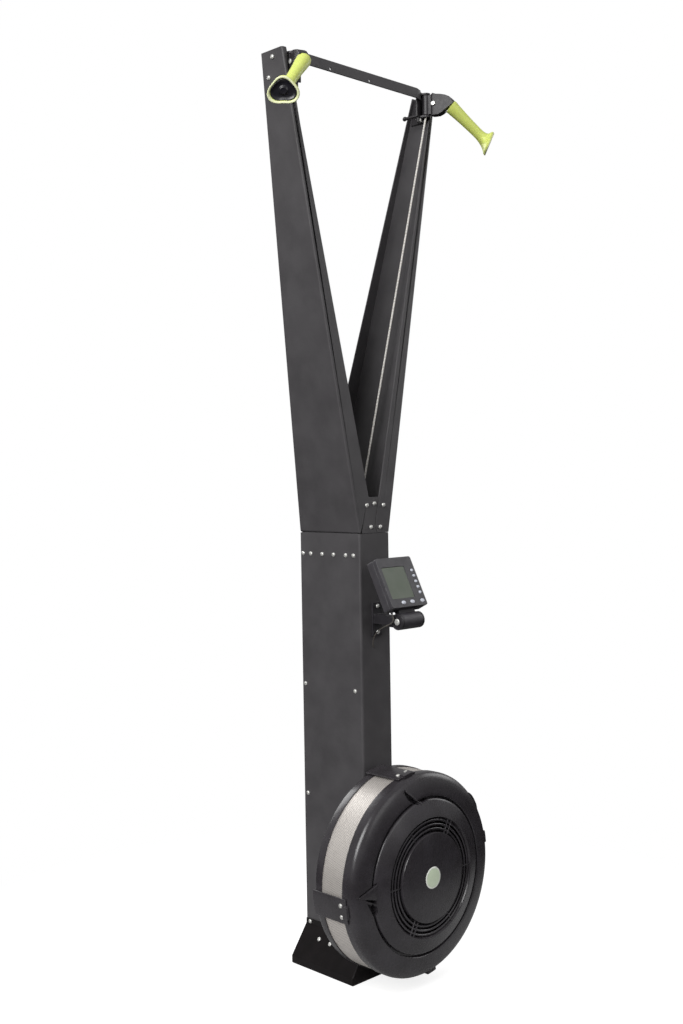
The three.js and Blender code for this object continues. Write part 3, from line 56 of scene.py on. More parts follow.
def look(yaw, pitch, roll):
    """Camera axes for a yaw from +Y towards +X, a pitch above level and a roll, in degrees."""
    yaw, pitch, roll = (math.radians(angle) for angle in (yaw, pitch, roll))
    ahead = Vector((math.sin(yaw) * math.cos(pitch), math.cos(yaw) * math.cos(pitch), math.sin(pitch)))
    right = Vector((math.cos(yaw), -math.sin(yaw), 0))
    up = right.cross(ahead)
    right, up = (math.cos(roll) * right + math.sin(roll) * up, math.cos(roll) * up - math.sin(roll) * right)
    return Matrix((right, up, -ahead)).transposed().to_4x4()


bpy.ops.object.camera_add()
camera = bpy.context.object
camera.name = "view_camera"
camera.matrix_world = Matrix.Translation((-2.0875, -2.1077, 1.1915)) @ look(44.604, -1.7655, -0.9242)
camera.data.lens = 43.12
camera.data.sensor_width = 36
bpy.context.scene.camera = camera


# Modelling by hand

def select_only(piece):
    """Selects one piece and makes it active."""
    bpy.ops.object.select_all(action="DESELECT")
    piece.select_set(True)
    bpy.context.view_layer.objects.active = piece


def edit(piece):
    """Enters edit mode with every vertex of a piece selected."""
    select_only(piece)
    bpy.ops.object.mode_set(mode="EDIT")
    bpy.ops.mesh.select_mode(type="VERT")
    bpy.ops.mesh.select_all(action="SELECT")


def finish_edit():
    """Leaves edit mode."""
    bpy.ops.object.mode_set(mode="OBJECT")


def pick_edges(piece, test):
    """Selects, in edit mode, the edges whose two ends both pass the test."""
    edit(piece)
    bpy.ops.mesh.select_all(action="DESELECT")
    finish_edit()
    points = [vertex.co for vertex in piece.data.vertices]
    for edge in piece.data.edges:
        edge.select = all(test(points[i]) for i in edge.vertices)
    bpy.ops.object.mode_set(mode="EDIT")
    bpy.ops.mesh.select_mode(type="EDGE")


def apply_modifier(piece, kind, **settings):
    """Adds a modifier and applies it at once."""
    select_only(piece)
    modifier = piece.modifiers.new(kind.lower(), kind)
    for key, value in settings.items():
        setattr(modifier, key, value)
    bpy.ops.object.modifier_apply(modifier=modifier.name)


def round_edges(piece, width, segments=2, angle=30):
    """Rounds the edges that are sharper than an angle, by a width in mm."""
    apply_modifier(piece, "BEVEL", width=width * MM, segments=segments, limit_method="ANGLE",
                   angle_limit=math.radians(angle), use_clamp_overlap=False, harden_normals=False)


def smooth(piece, angle=35):
    """Smooth shading, with a hard line at each edge above an angle."""
    select_only(piece)
    bpy.ops.object.shade_smooth_by_angle(angle=math.radians(angle))


def level_shading(piece):
    """Keeps the large flat faces evenly lit beside their rounded edges."""
    apply_modifier(piece, "WEIGHTED_NORMAL", keep_sharp=True, weight=60)


def place(piece, matrix):
    """Puts a finished piece where it belongs, with its place in its mesh."""
    select_only(piece)
    piece.matrix_world = matrix @ piece.matrix_world
    bpy.ops.object.transform_apply(location=True, rotation=True, scale=True)


def outward(piece):
    """Joins doubled vertices and turns every face outwards."""
    edit(piece)
    bpy.ops.mesh.remove_doubles(threshold=WELD)
    bpy.ops.mesh.normals_make_consistent(inside=False)
    finish_edit()


def chain(name, points):
    """An open line of vertices, drawn by extruding one vertex from point to point, in mm."""
    bpy.ops.object.select_all(action="DESELECT")
    bpy.ops.mesh.primitive_plane_add(size=MM)
    piece = bpy.context.object
    piece.name = name
    edit(piece)
    bpy.ops.mesh.merge(type="CENTER")
    points = [Vector(point) * MM for point in points]
    bpy.ops.transform.translate(value=points[0])
    for here, there in zip(points, points[1:]):
        bpy.ops.mesh.extrude_region_move(TRANSFORM_OT_translate={"value": there - here})
    return piece


def turned(name, profile, steps=96):
    """A profile of (radius, height) points in mm, spun round Z."""
    piece = chain(name, [(radius, 0, height) for radius, height in profile])
    bpy.ops.mesh.select_all(action="SELECT")
    bpy.ops.mesh.spin(steps=steps, angle=2 * math.pi, center=(0, 0, 0), axis=(0, 0, 1))
    bpy.ops.mesh.select_all(action="SELECT")
    bpy.ops.mesh.remove_doubles(threshold=WELD)
    finish_edit()
    outward(piece)
    return piece


def prism(name, outline, depth):
    """An outline of (x, y) points in mm, pulled up along Z."""
    piece = chain(name, [(x, y, 0) for x, y in outline])
    bpy.ops.mesh.select_all(action="SELECT")
    bpy.ops.mesh.edge_face_add()
    bpy.ops.mesh.extrude_region_move(TRANSFORM_OT_translate={"value": (0, 0, depth * MM)})
    finish_edit()
    outward(piece)
    return piece


def rod(name, radius, length, sides, edge):
    """A cylinder on Z from 0 up, with broken edges."""
    bpy.ops.object.select_all(action="DESELECT")
    bpy.ops.mesh.primitive_cylinder_add(vertices=sides, radius=radius * MM, depth=length * MM,
                                        location=(0, 0, length * MM / 2))
    piece = bpy.context.object
    piece.name = name
    place(piece, Matrix.Identity(4))
    round_edges(piece, edge)
    return piece


def cut(piece, tool):
    """Takes one solid out of another and throws the tool away."""
    apply_modifier(piece, "BOOLEAN", operation="DIFFERENCE", object=tool, solver="EXACT")
    bpy.data.objects.remove(tool)


def merged(name, pieces):
    """Several meshes as one object."""
    bpy.ops.object.select_all(action="DESELECT")
    for piece in pieces:
        piece.select_set(True)
    bpy.context.view_layer.objects.active = pieces[0]
    bpy.ops.object.join()
    pieces[0].name = name
    return pieces[0]


def copied(piece, name):
    """A copy of a piece under its own name."""
    select_only(piece)
    bpy.ops.object.duplicate(linked=False)
    bpy.context.object.name = name
    return bpy.context.object


def flipped(piece):
    """Turns a piece of the right side into its twin on the left side."""
    place(piece, Matrix.Scale(-1, 4, (1, 0, 0)))
    outward(piece)


def dressed(node, name, edge=0.5, segments=2, angle=35):
    """A merged copy of a CAD node: flat faces joined, edges rounded, curves smoothed."""
    piece = bpy.data.objects.new(name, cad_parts[node].data.copy())
    bpy.context.scene.collection.objects.link(piece)
    edit(piece)
    bpy.ops.mesh.remove_doubles(threshold=2e-5)
    bpy.ops.mesh.dissolve_limited(angle_limit=math.radians(0.6))
    finish_edit()
    if edge:
        round_edges(piece, edge, segments, angle)
    smooth(piece, angle)
    level_shading(piece)
    return piece


def toward(place_mm, direction):
    """Matrix that stands a piece made on +Z at a place, pointing along a direction."""
    turn = Vector((0, 0, 1)).rotation_difference(Vector(direction).normalized())
    return Matrix.Translation(Vector(place_mm) * MM) @ turn.to_matrix().to_4x4()


ON_AXLE = Matrix.Translation((0, COLUMN_FRONT * MM, WHEEL_HEIGHT * MM)) @ Matrix.Rotation(math.pi / 2, 4, "X")


# Materials

def colour(code):
    """An sRGB hex colour as linear RGBA."""
    channels = [int(code[i:i + 2], 16) / 255 for i in (0, 2, 4)]
    return [c / 12.92 if c <= 0.04045 else ((c + 0.055) / 1.055) ** 2.4 for c in channels] + [1.0]


def add_node(tree, kind, inputs=(), **settings):
    """One node, with its settings, and each input either linked or set."""
    node = tree.nodes.new(kind)
    for key, value in settings.items():
        setattr(node, key, value)
    for key, value in dict(inputs).items():
        if isinstance(value, bpy.types.NodeSocket):
            tree.links.new(value, node.inputs[key])
        else:
            node.inputs[key].default_value = value
    return node


def surface(name, roughness, metallic=0.0, ior=1.5, coat=0.0):
    """A material with its shader, and the coordinates of the piece in metres."""
    material = bpy.data.materials.new(name)
    material.use_nodes = True
    tree = material.node_tree
    shader = tree.nodes["Principled BSDF"]
    shader.inputs["Roughness"].default_value = roughness
    shader.inputs["Metallic"].default_value = metallic
    shader.inputs["IOR"].default_value = ior
    shader.inputs["Coat Weight"].default_value = coat
    where = add_node(tree, "ShaderNodeTexCoord").outputs["Object"]
    return material, tree, shader, where


def per_metre(size_mm):
    """Texture scale of a pattern whose cells have a real size."""
    return 1 / (size_mm * MM)


def grain(tree, where, size_mm, detail=2.0):
    """Soft noise whose clouds have a real size."""
    return add_node(tree, "ShaderNodeTexNoise", {"Vector": where, "Scale": per_metre(size_mm),
                                                 "Detail": detail, "Roughness": 0.5}).outputs["Fac"]


def tint(tree, shader, amount, dark, light):
    """The shader's colour, between two close tones."""
    ramp = add_node(tree, "ShaderNodeValToRGB", {"Fac": amount})
    for stop, position, code in zip(ramp.color_ramp.elements, (0.3, 0.7), (dark, light)):
        stop.position = position
        stop.color = colour(code)
    tree.links.new(ramp.outputs["Color"], shader.inputs["Base Color"])
    return ramp


def relief(tree, shader, height, depth_mm, strength=0.5):
    """A bump of a real depth."""
    bump = add_node(tree, "ShaderNodeBump", {"Height": height, "Distance": depth_mm * MM,
                                             "Strength": strength})
    tree.links.new(bump.outputs["Normal"], shader.inputs["Normal"])


def sheen_range(tree, shader, amount, low, high):
    """Roughness that drifts between two values over the piece."""
    spread = add_node(tree, "ShaderNodeMapRange", {"Value": amount, "To Min": low, "To Max": high})
    tree.links.new(spread.outputs["Result"], shader.inputs["Roughness"])


# Polyester powder coat on steel sheet: dull charcoal with a fine orange peel, drawn at 3 mm to show
def powder_coat(name, dark, light):
    material, tree, shader, where = surface(name, 0.5)
    peel = grain(tree, where, 3, 3)
    tint(tree, shader, grain(tree, where, 60, 4), dark, light)
    relief(tree, shader, peel, 0.12, 0.5)
    sheen_range(tree, shader, grain(tree, where, 25), 0.42, 0.56)
    return material


# ABS injection moulded in a polished tool: near black, glossy, with a faint long waviness
def moulded_gloss_abs():
    material, tree, shader, where = surface("moulded_gloss_abs", 0.25, ior=1.54)
    tint(tree, shader, grain(tree, where, 45, 3), "2f2c2f", "3a373b")
    relief(tree, shader, grain(tree, where, 30, 1), 0.25, 0.3)
    sheen_range(tree, shader, grain(tree, where, 12, 4), 0.2, 0.34)
    return material


# Glass-filled nylon moulded in a spark-eroded tool: dark, with a fine even pebble
def moulded_grained_nylon(name, dark, light, rough=0.48):
    material, tree, shader, where = surface(name, rough, ior=1.53)
    tint(tree, shader, grain(tree, where, 20, 4), dark, light)
    pebble = add_node(tree, "ShaderNodeTexVoronoi", {"Vector": where, "Scale": per_metre(1.2)})
    relief(tree, shader, pebble.outputs["Distance"], 0.08, 0.35)
    sheen_range(tree, shader, grain(tree, where, 9, 3), rough - 0.08, rough + 0.08)
    return material


# Stoved gloss enamel on the pressed foot: black, with soft reflections
def gloss_enamel():
    material, tree, shader, where = surface("gloss_enamel", 0.3)
    shader.inputs["Specular IOR Level"].default_value = 0.2
    tint(tree, shader, grain(tree, where, 30, 3), "0e0b0b", "171314")
    relief(tree, shader, grain(tree, where, 5, 2), 0.08, 0.35)
    return material


# Perforated stainless sheet rolled to a ring: staggered holes, pitch drawn at 4 mm so that it shows
def perforated_stainless():
    material, tree, shader, where = surface("perforated_stainless", 0.4, metallic=0.55)
    parts = add_node(tree, "ShaderNodeSeparateXYZ", {"Vector": where})
    height = add_node(tree, "ShaderNodeMath", {0: parts.outputs["Z"], 1: WHEEL_HEIGHT * MM},
                      operation="SUBTRACT")
    turn = add_node(tree, "ShaderNodeMath", {0: height.outputs[0], 1: parts.outputs["X"]},
                    operation="ARCTAN2")
    pitch, band_radius, row_step = 4.0, 231.0, 0.866
    around = add_node(tree, "ShaderNodeMath", {0: turn.outputs[0], 1: band_radius / pitch},
                      operation="MULTIPLY")
    across = add_node(tree, "ShaderNodeMath", {0: parts.outputs["Y"], 1: per_metre(pitch * row_step)},
                      operation="MULTIPLY")
    row = add_node(tree, "ShaderNodeMath", {0: across.outputs[0]}, operation="FLOOR")
    odd = add_node(tree, "ShaderNodeMath", {0: row.outputs[0], 1: 0.5}, operation="MULTIPLY")
    shifted = add_node(tree, "ShaderNodeMath", {0: around.outputs[0], 1: odd.outputs[0]}, operation="ADD")
    cell_u = add_node(tree, "ShaderNodeMath", {0: shifted.outputs[0]}, operation="FRACT")
    cell_v = add_node(tree, "ShaderNodeMath", {0: across.outputs[0]}, operation="FRACT")
    spot = add_node(tree, "ShaderNodeCombineXYZ", {"X": cell_u.outputs[0], "Y": cell_v.outputs[0], "Z": 0.0})
    reach = add_node(tree, "ShaderNodeVectorMath", {0: spot.outputs[0], 1: (0.5, 0.5, 0.0)},
                     operation="DISTANCE")
    hole_edge = (0.24, 0.32)
    hole = add_node(tree, "ShaderNodeMapRange", {
        "Value": reach.outputs["Value"], "From Min": hole_edge[0], "From Max": hole_edge[1],
        "To Min": 0.0, "To Max": 1.0})
    tint(tree, shader, hole.outputs["Result"], "8d8782", "e2dcd6")
    relief(tree, shader, hole.outputs["Result"], 0.5, 0.4)
    return material


# Zinc-plated steel, cold headed: bright, with small cloudy variations
def zinc_plate(name="zinc_plate", dark="d2d2ce", light="f4f3ef", rough=0.42, metallic=0.6):
    material, tree, shader, where = surface(name, rough, metallic=metallic)
    tint(tree, shader, grain(tree, where, 2, 3), dark, light)
    sheen_range(tree, shader, grain(tree, where, 1.5, 3), rough - 0.06, rough + 0.12)
    relief(tree, shader, grain(tree, where, 0.8), 0.02, 0.3)
    return material


# Aluminium, pressure die cast and left raw: grey, with a soft sandy skin
def die_cast_aluminium():
    material, tree, shader, where = surface("die_cast_aluminium", 0.5, metallic=1.0)
    tint(tree, shader, grain(tree, where, 14, 4), "8b8d90", "a3a5a7")
    relief(tree, shader, grain(tree, where, 1.2, 3), 0.06, 0.5)
    return material


# Acetal, turned: waxy off-white with faint tool rings
def turned_acetal():
    material, tree, shader, where = surface("turned_acetal", 0.4, ior=1.48)
    tint(tree, shader, grain(tree, where, 8, 3), "d6d3c8", "e6e3da")
    rings = add_node(tree, "ShaderNodeTexWave", {"Vector": where, "Scale": per_metre(3), "Distortion": 0.4})
    relief(tree, shader, rings.outputs["Fac"], 0.03, 0.3)
    return material


# Braided polyester cord: pale strands that cross, drawn at 3 mm so that they show
def braided_polyester(name, dark, light):
    material, tree, shader, where = surface(name, 0.85)
    strand, wave_turn = 3, 6.28
    weave = []
    for lean in (0.6, -0.6):
        leaning = add_node(tree, "ShaderNodeMapping", {"Vector": where, "Rotation": (0, lean, lean)})
        bands = add_node(tree, "ShaderNodeTexWave", {
            "Vector": leaning.outputs[0], "Scale": per_metre(strand * wave_turn), "Distortion": 0.6},
            bands_direction="Z")
        weave.append(bands.outputs["Fac"])
    crossing = add_node(tree, "ShaderNodeMath", {0: weave[0], 1: weave[1]}, operation="MAXIMUM").outputs[0]
    tint(tree, shader, crossing, dark, light)
    relief(tree, shader, crossing, 0.25, 0.7)
    shader.inputs["Sheen Weight"].default_value = 0.2
    return material


# EPDM rubber, extruded: matt dark grey with a faint bloom
def extruded_rubber():
    material, tree, shader, where = surface("extruded_rubber", 0.7, ior=1.52)
    tint(tree, shader, grain(tree, where, 10, 4), "4a4642", "5f5a55")
    relief(tree, shader, grain(tree, where, 1.5), 0.04, 0.4)
    return material


# Thermoplastic elastomer moulded over the handle: lime, waxy, and paler at the foot's rim
def moulded_lime_elastomer(name, mouth_mm, foot_way, rim_mm):
    material, tree, shader, where = surface(name, 0.42, ior=1.5)
    from_mouth = add_node(tree, "ShaderNodeVectorMath", {0: where, 1: Vector(mouth_mm) * MM},
                          operation="SUBTRACT")
    along = add_node(tree, "ShaderNodeVectorMath", {0: from_mouth.outputs["Vector"], 1: foot_way},
                     operation="DOT_PRODUCT")
    rim = add_node(tree, "ShaderNodeMapRange", {
        "Value": along.outputs["Value"], "From Min": (rim_mm - 4) * MM, "From Max": (rim_mm - 0.8) * MM,
        "To Min": 0.0, "To Max": 1.0})
    cloud = add_node(tree, "ShaderNodeMath", {0: grain(tree, where, 18, 3), 1: 0.25}, operation="MULTIPLY")
    amount = add_node(tree, "ShaderNodeMath", {0: cloud.outputs[0], 1: rim.outputs["Result"]},
                      operation="ADD", use_clamp=True)
    ramp = tint(tree, shader, amount.outputs[0], "dde878", "e8ecbe")
    for stop, position in zip(ramp.color_ramp.elements, (0.08, 0.9)):
        stop.position = position
    middle = ramp.color_ramp.elements.new(0.3)
    middle.color = colour("e3ed86")
    relief(tree, shader, grain(tree, where, 1.6, 2), 0.05, 0.4)
    shader.inputs["Subsurface Weight"].default_value = 0.08
    shader.inputs["Subsurface Radius"].default_value = (0.004, 0.005, 0.002)
    return material


# Liquid crystal display behind a clear acrylic window: grey-green, glossy, with a faint mottle
def display_glass():
    material, tree, shader, where = surface("display_glass", 0.6, ior=1.49)
    tint(tree, shader, grain(tree, where, 35, 2), "60685c", "696f65")
    relief(tree, shader, grain(tree, where, 40, 1), 0.05, 0.1)
    return material


# Silicone rubber keys: light grey, dull, a little darker where fingers press
def silicone_key():
    material, tree, shader, where = surface("silicone_key", 0.55, ior=1.43)
    tint(tree, shader, grain(tree, where, 4, 3), "ccd0dc", "e2e5ee")
    relief(tree, shader, grain(tree, where, 0.7), 0.03, 0.4)
    return material


# Glass-epoxy board under green solder resist, with copper areas that show through
def solder_resist():
    material, tree, shader, where = surface("solder_resist", 0.35, ior=1.55)
    tracks = add_node(tree, "ShaderNodeTexBrick", {"Vector": where, "Scale": per_metre(20)})
    tint(tree, shader, tracks.outputs["Fac"], "2c5a3a", "3f7a4d")
    relief(tree, shader, tracks.outputs["Fac"], 0.04, 0.4)
    return material


# Cells in printed shrink sleeve, left plain
def shrink_sleeve():
    material, tree, shader, where = surface("shrink_sleeve", 0.35, ior=1.5)
    tint(tree, shader, grain(tree, where, 12, 2), "7f848b", "989da4")
    relief(tree, shader, grain(tree, where, 6, 2), 0.08, 0.4)
    return material


# Printed and domed polycarbonate disc: pale green, glossy
def domed_label():
    material, tree, shader, where = surface("domed_label", 0.25, ior=1.58, coat=0.4)
    face_y, rim_start, rim_end = -0.271, 0.021, 0.0235
    middle = add_node(tree, "ShaderNodeVectorMath", {0: where, 1: (0, face_y, WHEEL_HEIGHT * MM)},
                      operation="DISTANCE")
    rim = add_node(tree, "ShaderNodeMapRange", {
        "Value": middle.outputs["Value"], "From Min": rim_start, "From Max": rim_end,
        "To Min": 0.0, "To Max": 1.0})
    cloud = add_node(tree, "ShaderNodeMath", {0: grain(tree, where, 9, 2), 1: 0.35}, operation="MULTIPLY")
    amount = add_node(tree, "ShaderNodeMath", {0: cloud.outputs[0], 1: rim.outputs["Result"]},
                      operation="ADD", use_clamp=True)
    tint(tree, shader, amount.outputs[0], "e2f0d4", "fafdf4")
    relief(tree, shader, cloud.outputs[0], 0.1, 0.2)
    return material


COAT = powder_coat("powder_coated_steel", "464446", "504e50")
ENAMEL = gloss_enamel()
GLOSS_ABS = moulded_gloss_abs()
NYLON = moulded_grained_nylon("moulded_grained_nylon", "232125", "2e2c30")
HOUSING = moulded_grained_nylon("moulded_housing_nylon", "242124", "2f2c2f", 0.46)
PLUG = moulded_grained_nylon("moulded_plug_polypropylene", "17161b", "222127", 0.3)
CASE_ABS = moulded_grained_nylon("moulded_case_abs", "3b393d", "464448", 0.42)
PERFORATED = perforated_stainless()
ZINC = zinc_plate()
PRESSED_ZINC = zinc_plate("zinc_plated_pressing", "7f8286", "9a9da0", 0.42, 1.0)
GROUND_STEEL = zinc_plate("ground_steel", "a5a7a9", "c9cbcc", 0.22, 1.0)
CAST = die_cast_aluminium()
ACETAL = turned_acetal()
CORD = braided_polyester("braided_polyester", "c9c4bc", "eeeae4")
ELASTIC = braided_polyester("braided_elastic", "1c1c1e", "3a3a3e")
RUBBER = extruded_rubber()
DISPLAY = display_glass()
KEY = silicone_key()
BOARD = solder_resist()
SLEEVE = shrink_sleeve()
LABEL = domed_label()


def settle(piece, body, material, *nodes, slot=None):
    """Gives a finished piece its material, its body and the CAD nodes that it stands for."""
    piece.data.materials.clear()
    piece.data.materials.append(material)
    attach(piece, body)
    if nodes:
        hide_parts(*nodes)
    return piece


# Nodes that keep their CAD shape and get their real finish
KEPT = {
    CAST: ("flywheel_rotor", "left_cord_drum", "right_cord_drum"),
    GROUND_STEEL: ("flywheel_axle", "front_axle_bearing", "rear_axle_bearing"),
    PRESSED_ZINC: ("axle_frame", "pulley_bracket", "cord_anchor"),
    NYLON: ("left_top_pulley", "right_top_pulley"),
    ACETAL: ("left_guide_pulley", "right_guide_pulley",
             "left_return_pulley", "right_return_pulley"),
    BOARD: ("circuit_board",),
    SLEEVE: ("battery_pack",),
    ELASTIC: ("left_return_cord", "right_return_cord"),
    COAT: ("arm_joint_plate",),
}
for material, names in KEPT.items():
    for name in names:
        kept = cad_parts[name]
        if not kept.material_slots:
            kept.data.materials.append(material)
        for slot in kept.material_slots:
            slot.material = material


# Column, foot and arms

ARM_BASE, ARM_TOP = 1051.0, 2134.0   # heights of the arms' ends, mm
ARM_SPREAD = 257.0                   # half the width over the arms at their top, mm
BEND = 5.0                           # outer radius of the folds, mm
TOUCH = 0.05                         # how near a point has to be to lie on a face, mm


def line_at(z, low, high):
    """A width or depth of the arm at a height, between its base and its top, in mm."""
    return low + (high - low) * (z - ARM_BASE) / (ARM_TOP - ARM_BASE)


def arm_outer(z):
    """Half the width over the arms at a height, in mm."""
    return line_at(z, COLUMN_HALF, ARM_SPREAD)


def arm_front(z):
    """y of the arm's front face at a height, in mm."""
    return line_at(z, COLUMN_FRONT, -89.2)


def arm_back(z):
    """y of the arm's rear face at a height, in mm."""
    return line_at(z, -COLUMN_FRONT, 19.4)


def on_bend(side):
    """Test for the two long outer corners of an arm, where the sheet is folded."""
    def test(point):
        x, y, z = (c / MM for c in point)
        if z < ARM_BASE:
            return False
        outside = abs(side * x - arm_outer(z)) < TOUCH
        return outside and min(abs(y - arm_front(z)), abs(y - arm_back(z))) < TOUCH
    return test


for side, sign in SIDES.items():
    arm = dressed(f"{side}_arm", f"{side}_arm_channel", edge=0)
    pick_edges(arm, on_bend(sign))
    bpy.ops.mesh.bevel(offset=BEND * MM, segments=5, affect="EDGES", clamp_overlap=False)
    finish_edit()
    round_edges(arm, 0.35, 2, 40)
    smooth(arm, 30)
    level_shading(arm)
    settle(arm, "frame", COAT, f"{side}_arm", slot="powder_coat")

for node, name, edge, material, slot in (
        ("column_shell", "column_channel", 0.35, COAT, "powder_coat"),
        ("column_back_plate", "column_rear_plate", 0.4, COAT, "powder_coat"),
        ("base_bracket", "foot_bracket", 1.2, ENAMEL, "gloss_black_paint"),
        ("top_bar", "tie_bar", 0.6, COAT, "powder_coat"),
        ("monitor_bracket", "monitor_yoke", 1.0, NYLON, "black_plastic")):
    settle(dressed(node, name, edge, 3, 30), "frame", material, node, slot=slot)

for place_name in ("top", "left", "right", "bottom"):
    strap = dressed(f"{place_name}_clamp", f"{place_name}_cage_clamp", 1.4, 3, 40)
    settle(strap, "frame", GLOSS_ABS, f"{place_name}_clamp", slot="black_plastic")

HEAD = Vector((225, -84, 0))         # swivel axis of the right head, mm
TOE = math.radians(20)               # turn of the head's nose from straight ahead
NOSE = Vector((math.sin(TOE), -math.cos(TOE), 0))
ACROSS = Vector((math.cos(TOE), math.sin(TOE), 0))
WEB_FRONT, WEB = -12.5, 4.0          # the bracket's web, forward of the swivel axis, and its thickness
PEG_ACROSS, PEG_HEIGHT, PEG_LENGTH, PEG_REACH = -14.0, 2078.0, 36.0, 7.2
PEG_DROP, PEG_SAG = 5, 3             # how far the peg comes down, and how much more at its end, mm


def droop(bracket, sign):
    """Lets the peg behind a bracket sit lower and hang a little."""
    for vertex in bracket.data.vertices:
        spot = Vector((sign * vertex.co.x, vertex.co.y, vertex.co.z)) / MM - HEAD
        behind = -spot.dot(NOSE) + WEB_FRONT - WEB
        aside = spot.dot(ACROSS) - PEG_ACROSS
        if behind > -0.1 and math.hypot(aside, spot.z - PEG_HEIGHT) < PEG_REACH:
            vertex.co.z -= (PEG_DROP + PEG_SAG * behind / PEG_LENGTH) * MM


def web_tab(name):
    """The tongue under the right bracket's web, which a screw goes through."""
    tab = prism(name, [(-21, 2072), (-21, 2057), (-18, 2054), (0, 2054), (3, 2057), (3, 2072)], WEB)
    basis = Matrix((ACROSS, Vector((0, 0, 1)), NOSE)).transposed()
    place(tab, Matrix.Translation((HEAD + NOSE * (WEB_FRONT - WEB)) * MM) @ basis.to_4x4())
    round_edges(tab, 0.6)
    return tab


for side, sign in SIDES.items():
    bracket = dressed(f"{side}_swivel_bracket", f"{side}_head_bracket", 0.8, 2, 30)
    tab = web_tab(f"{side}_web_tab")
    droop(bracket, sign)
    if sign < 0:
        flipped(tab)
    settle(bracket, "frame", HOUSING, f"{side}_swivel_bracket", slot="black_plastic")
    settle(tab, "frame", HOUSING, slot="black_plastic")
    settle(dressed(f"{side}_housing_bolt", f"{side}_head_bolt", 0.8, 2, 40), f"{side}_head", ZINC,
           f"{side}_housing_bolt", slot="steel")

settle(dressed("damper_ring", "damper_lever_ring", 0.8, 2, 35), "damper", NYLON, "damper_ring",
       slot="black_plastic")


# Screws

def cross_screw():
    """A pan-head screw on +Z with a cross recess: its seat is at 0."""
    head = turned("cross_screw", [(0, -3), (1.9, -3), (1.9, 0.2), (5.0, 0.2), (5.1, 0.9), (4.7, 2.0),
                                  (3.6, 2.9), (2.0, 3.35), (0, 3.45)], 28)
    length, width, depth, height = 4.2, 1.0, 1.8, 3.1
    for turn in (0, math.pi / 2):
        bpy.ops.object.select_all(action="DESELECT")
        bpy.ops.mesh.primitive_cube_add(size=1, location=(0, 0, height * MM), rotation=(0, 0, turn + 0.5),
                                        scale=(length * MM, width * MM, depth * MM))
        blade = bpy.context.object
        place(blade, Matrix.Identity(4))
        cut(head, blade)
    smooth(head, 40)
    return head


SCREW = cross_screw()
FLARE_TOP, LIP = 86.0, 18.0                # heights of the foot's flare, mm
FOOT_HALF, COLLAR_HALF = 103.7, 53.8       # half widths of the flare, low and high, mm
CAGE_RADIUS, STRAP = 234.6, 4              # the cage's rim and the clamps' thickness, mm
CLAMP_ANGLES = (8.5, 98.5, 187.3, 278.5)


def screw_places():
    """Places and directions of every screw of the frame, in mm."""
    spots = [((x, arm_front(z), z), (0, -1, 0)) for x, z in
             ((-24.7, 1117.4), (0.5, 1121.1), (31.6, 1116.7), (-12.3, 1065.9), (19.1, 1065.3))]
    lean = math.atan2(ARM_SPREAD - COLUMN_HALF, ARM_TOP - ARM_BASE)
    for sign in SIDES.values():
        rows = [(y, 1000) for y in (92.5, 65.5, 26, -13.5, -54.5, -80.5)]
        rows += [(91.5, 680), (-79.5, 680), (89, 410), (-80, 410)]
        spots += [((sign * COLUMN_HALF, y, z), (sign, 0, 0)) for y, z in rows]
        spots.append(((sign * COLLAR_HALF, 86, 92), (sign, 0, 0)))
        for y, z in ((38.2, 63.9), (-0.6, 62.2)):
            x = FOOT_HALF + (COLLAR_HALF - FOOT_HALF) * (z - LIP) / (FLARE_TOP - LIP)
            spots.append(((sign * x, y, z), (sign * (FLARE_TOP - LIP), 0, FOOT_HALF - COLLAR_HALF)))
        spots.append(((sign * 212.3, -75.3, 2063), (sign * NOSE.x, NOSE.y, 0)))
        for y, z in ((-54, 2119), (-32.7, 2079.4)):
            spots.append(((sign * arm_outer(z), y, z), (sign * math.cos(lean), 0, -math.sin(lean))))
    spots += [((0, -106.8, z), (0, -1, 0)) for z in (878.7, 817.3)]
    reach, ahead, half_gap = CAGE_RADIUS + STRAP, 109, 3.18
    for angle in CLAMP_ANGLES:
        for spread in (-half_gap, half_gap):
            a = math.radians(angle + spread)
            spots.append(((reach * math.cos(a), COLUMN_FRONT - ahead, WHEEL_HEIGHT + reach * math.sin(a)),
                          (math.cos(a), 0, math.sin(a))))
    return spots


TURN_STEP = 1.3              # each screw's cross stands a little farther round than the last
screws = []
for number, (spot, way) in enumerate(screw_places()):
    screw = copied(SCREW, f"screw_{number}")
    place(screw, toward(spot, way) @ Matrix.Rotation(number * TURN_STEP, 4, "Z"))
    screws.append(screw)
bpy.data.objects.remove(SCREW)
settle(merged("cross_head_screws", screws), "frame", ZINC, slot="steel")


# Flywheel cage

rear = turned("rear_cage_cover", [
    (12, 0.3), (70, 0.3), (75, 0.6), (221, 18.2), (226, 19.6), (230, 21.6), (232.6, 24.2), (233.8, 27.5),
    (233.8, 44), (230.8, 44), (230.8, 28.5), (229, 25), (224, 22.4), (75, 3.6), (70, 3.3), (12, 3.3),
    (12, 0.3)], 128)
place(rear, ON_AXLE)
smooth(rear, 35)
settle(rear, "frame", GLOSS_ABS, "rear_cover", slot="gloss_black_plastic")

band = turned("perforated_band_ring", [(230.1, 44.3), (231.6, 44.3), (231.6, 108.7), (230.1, 108.7),
                                       (230.1, 44.3)], 160)
place(band, ON_AXLE)
smooth(band, 35)
settle(band, "frame", PERFORATED, "perforated_band", slot="perforated_steel")

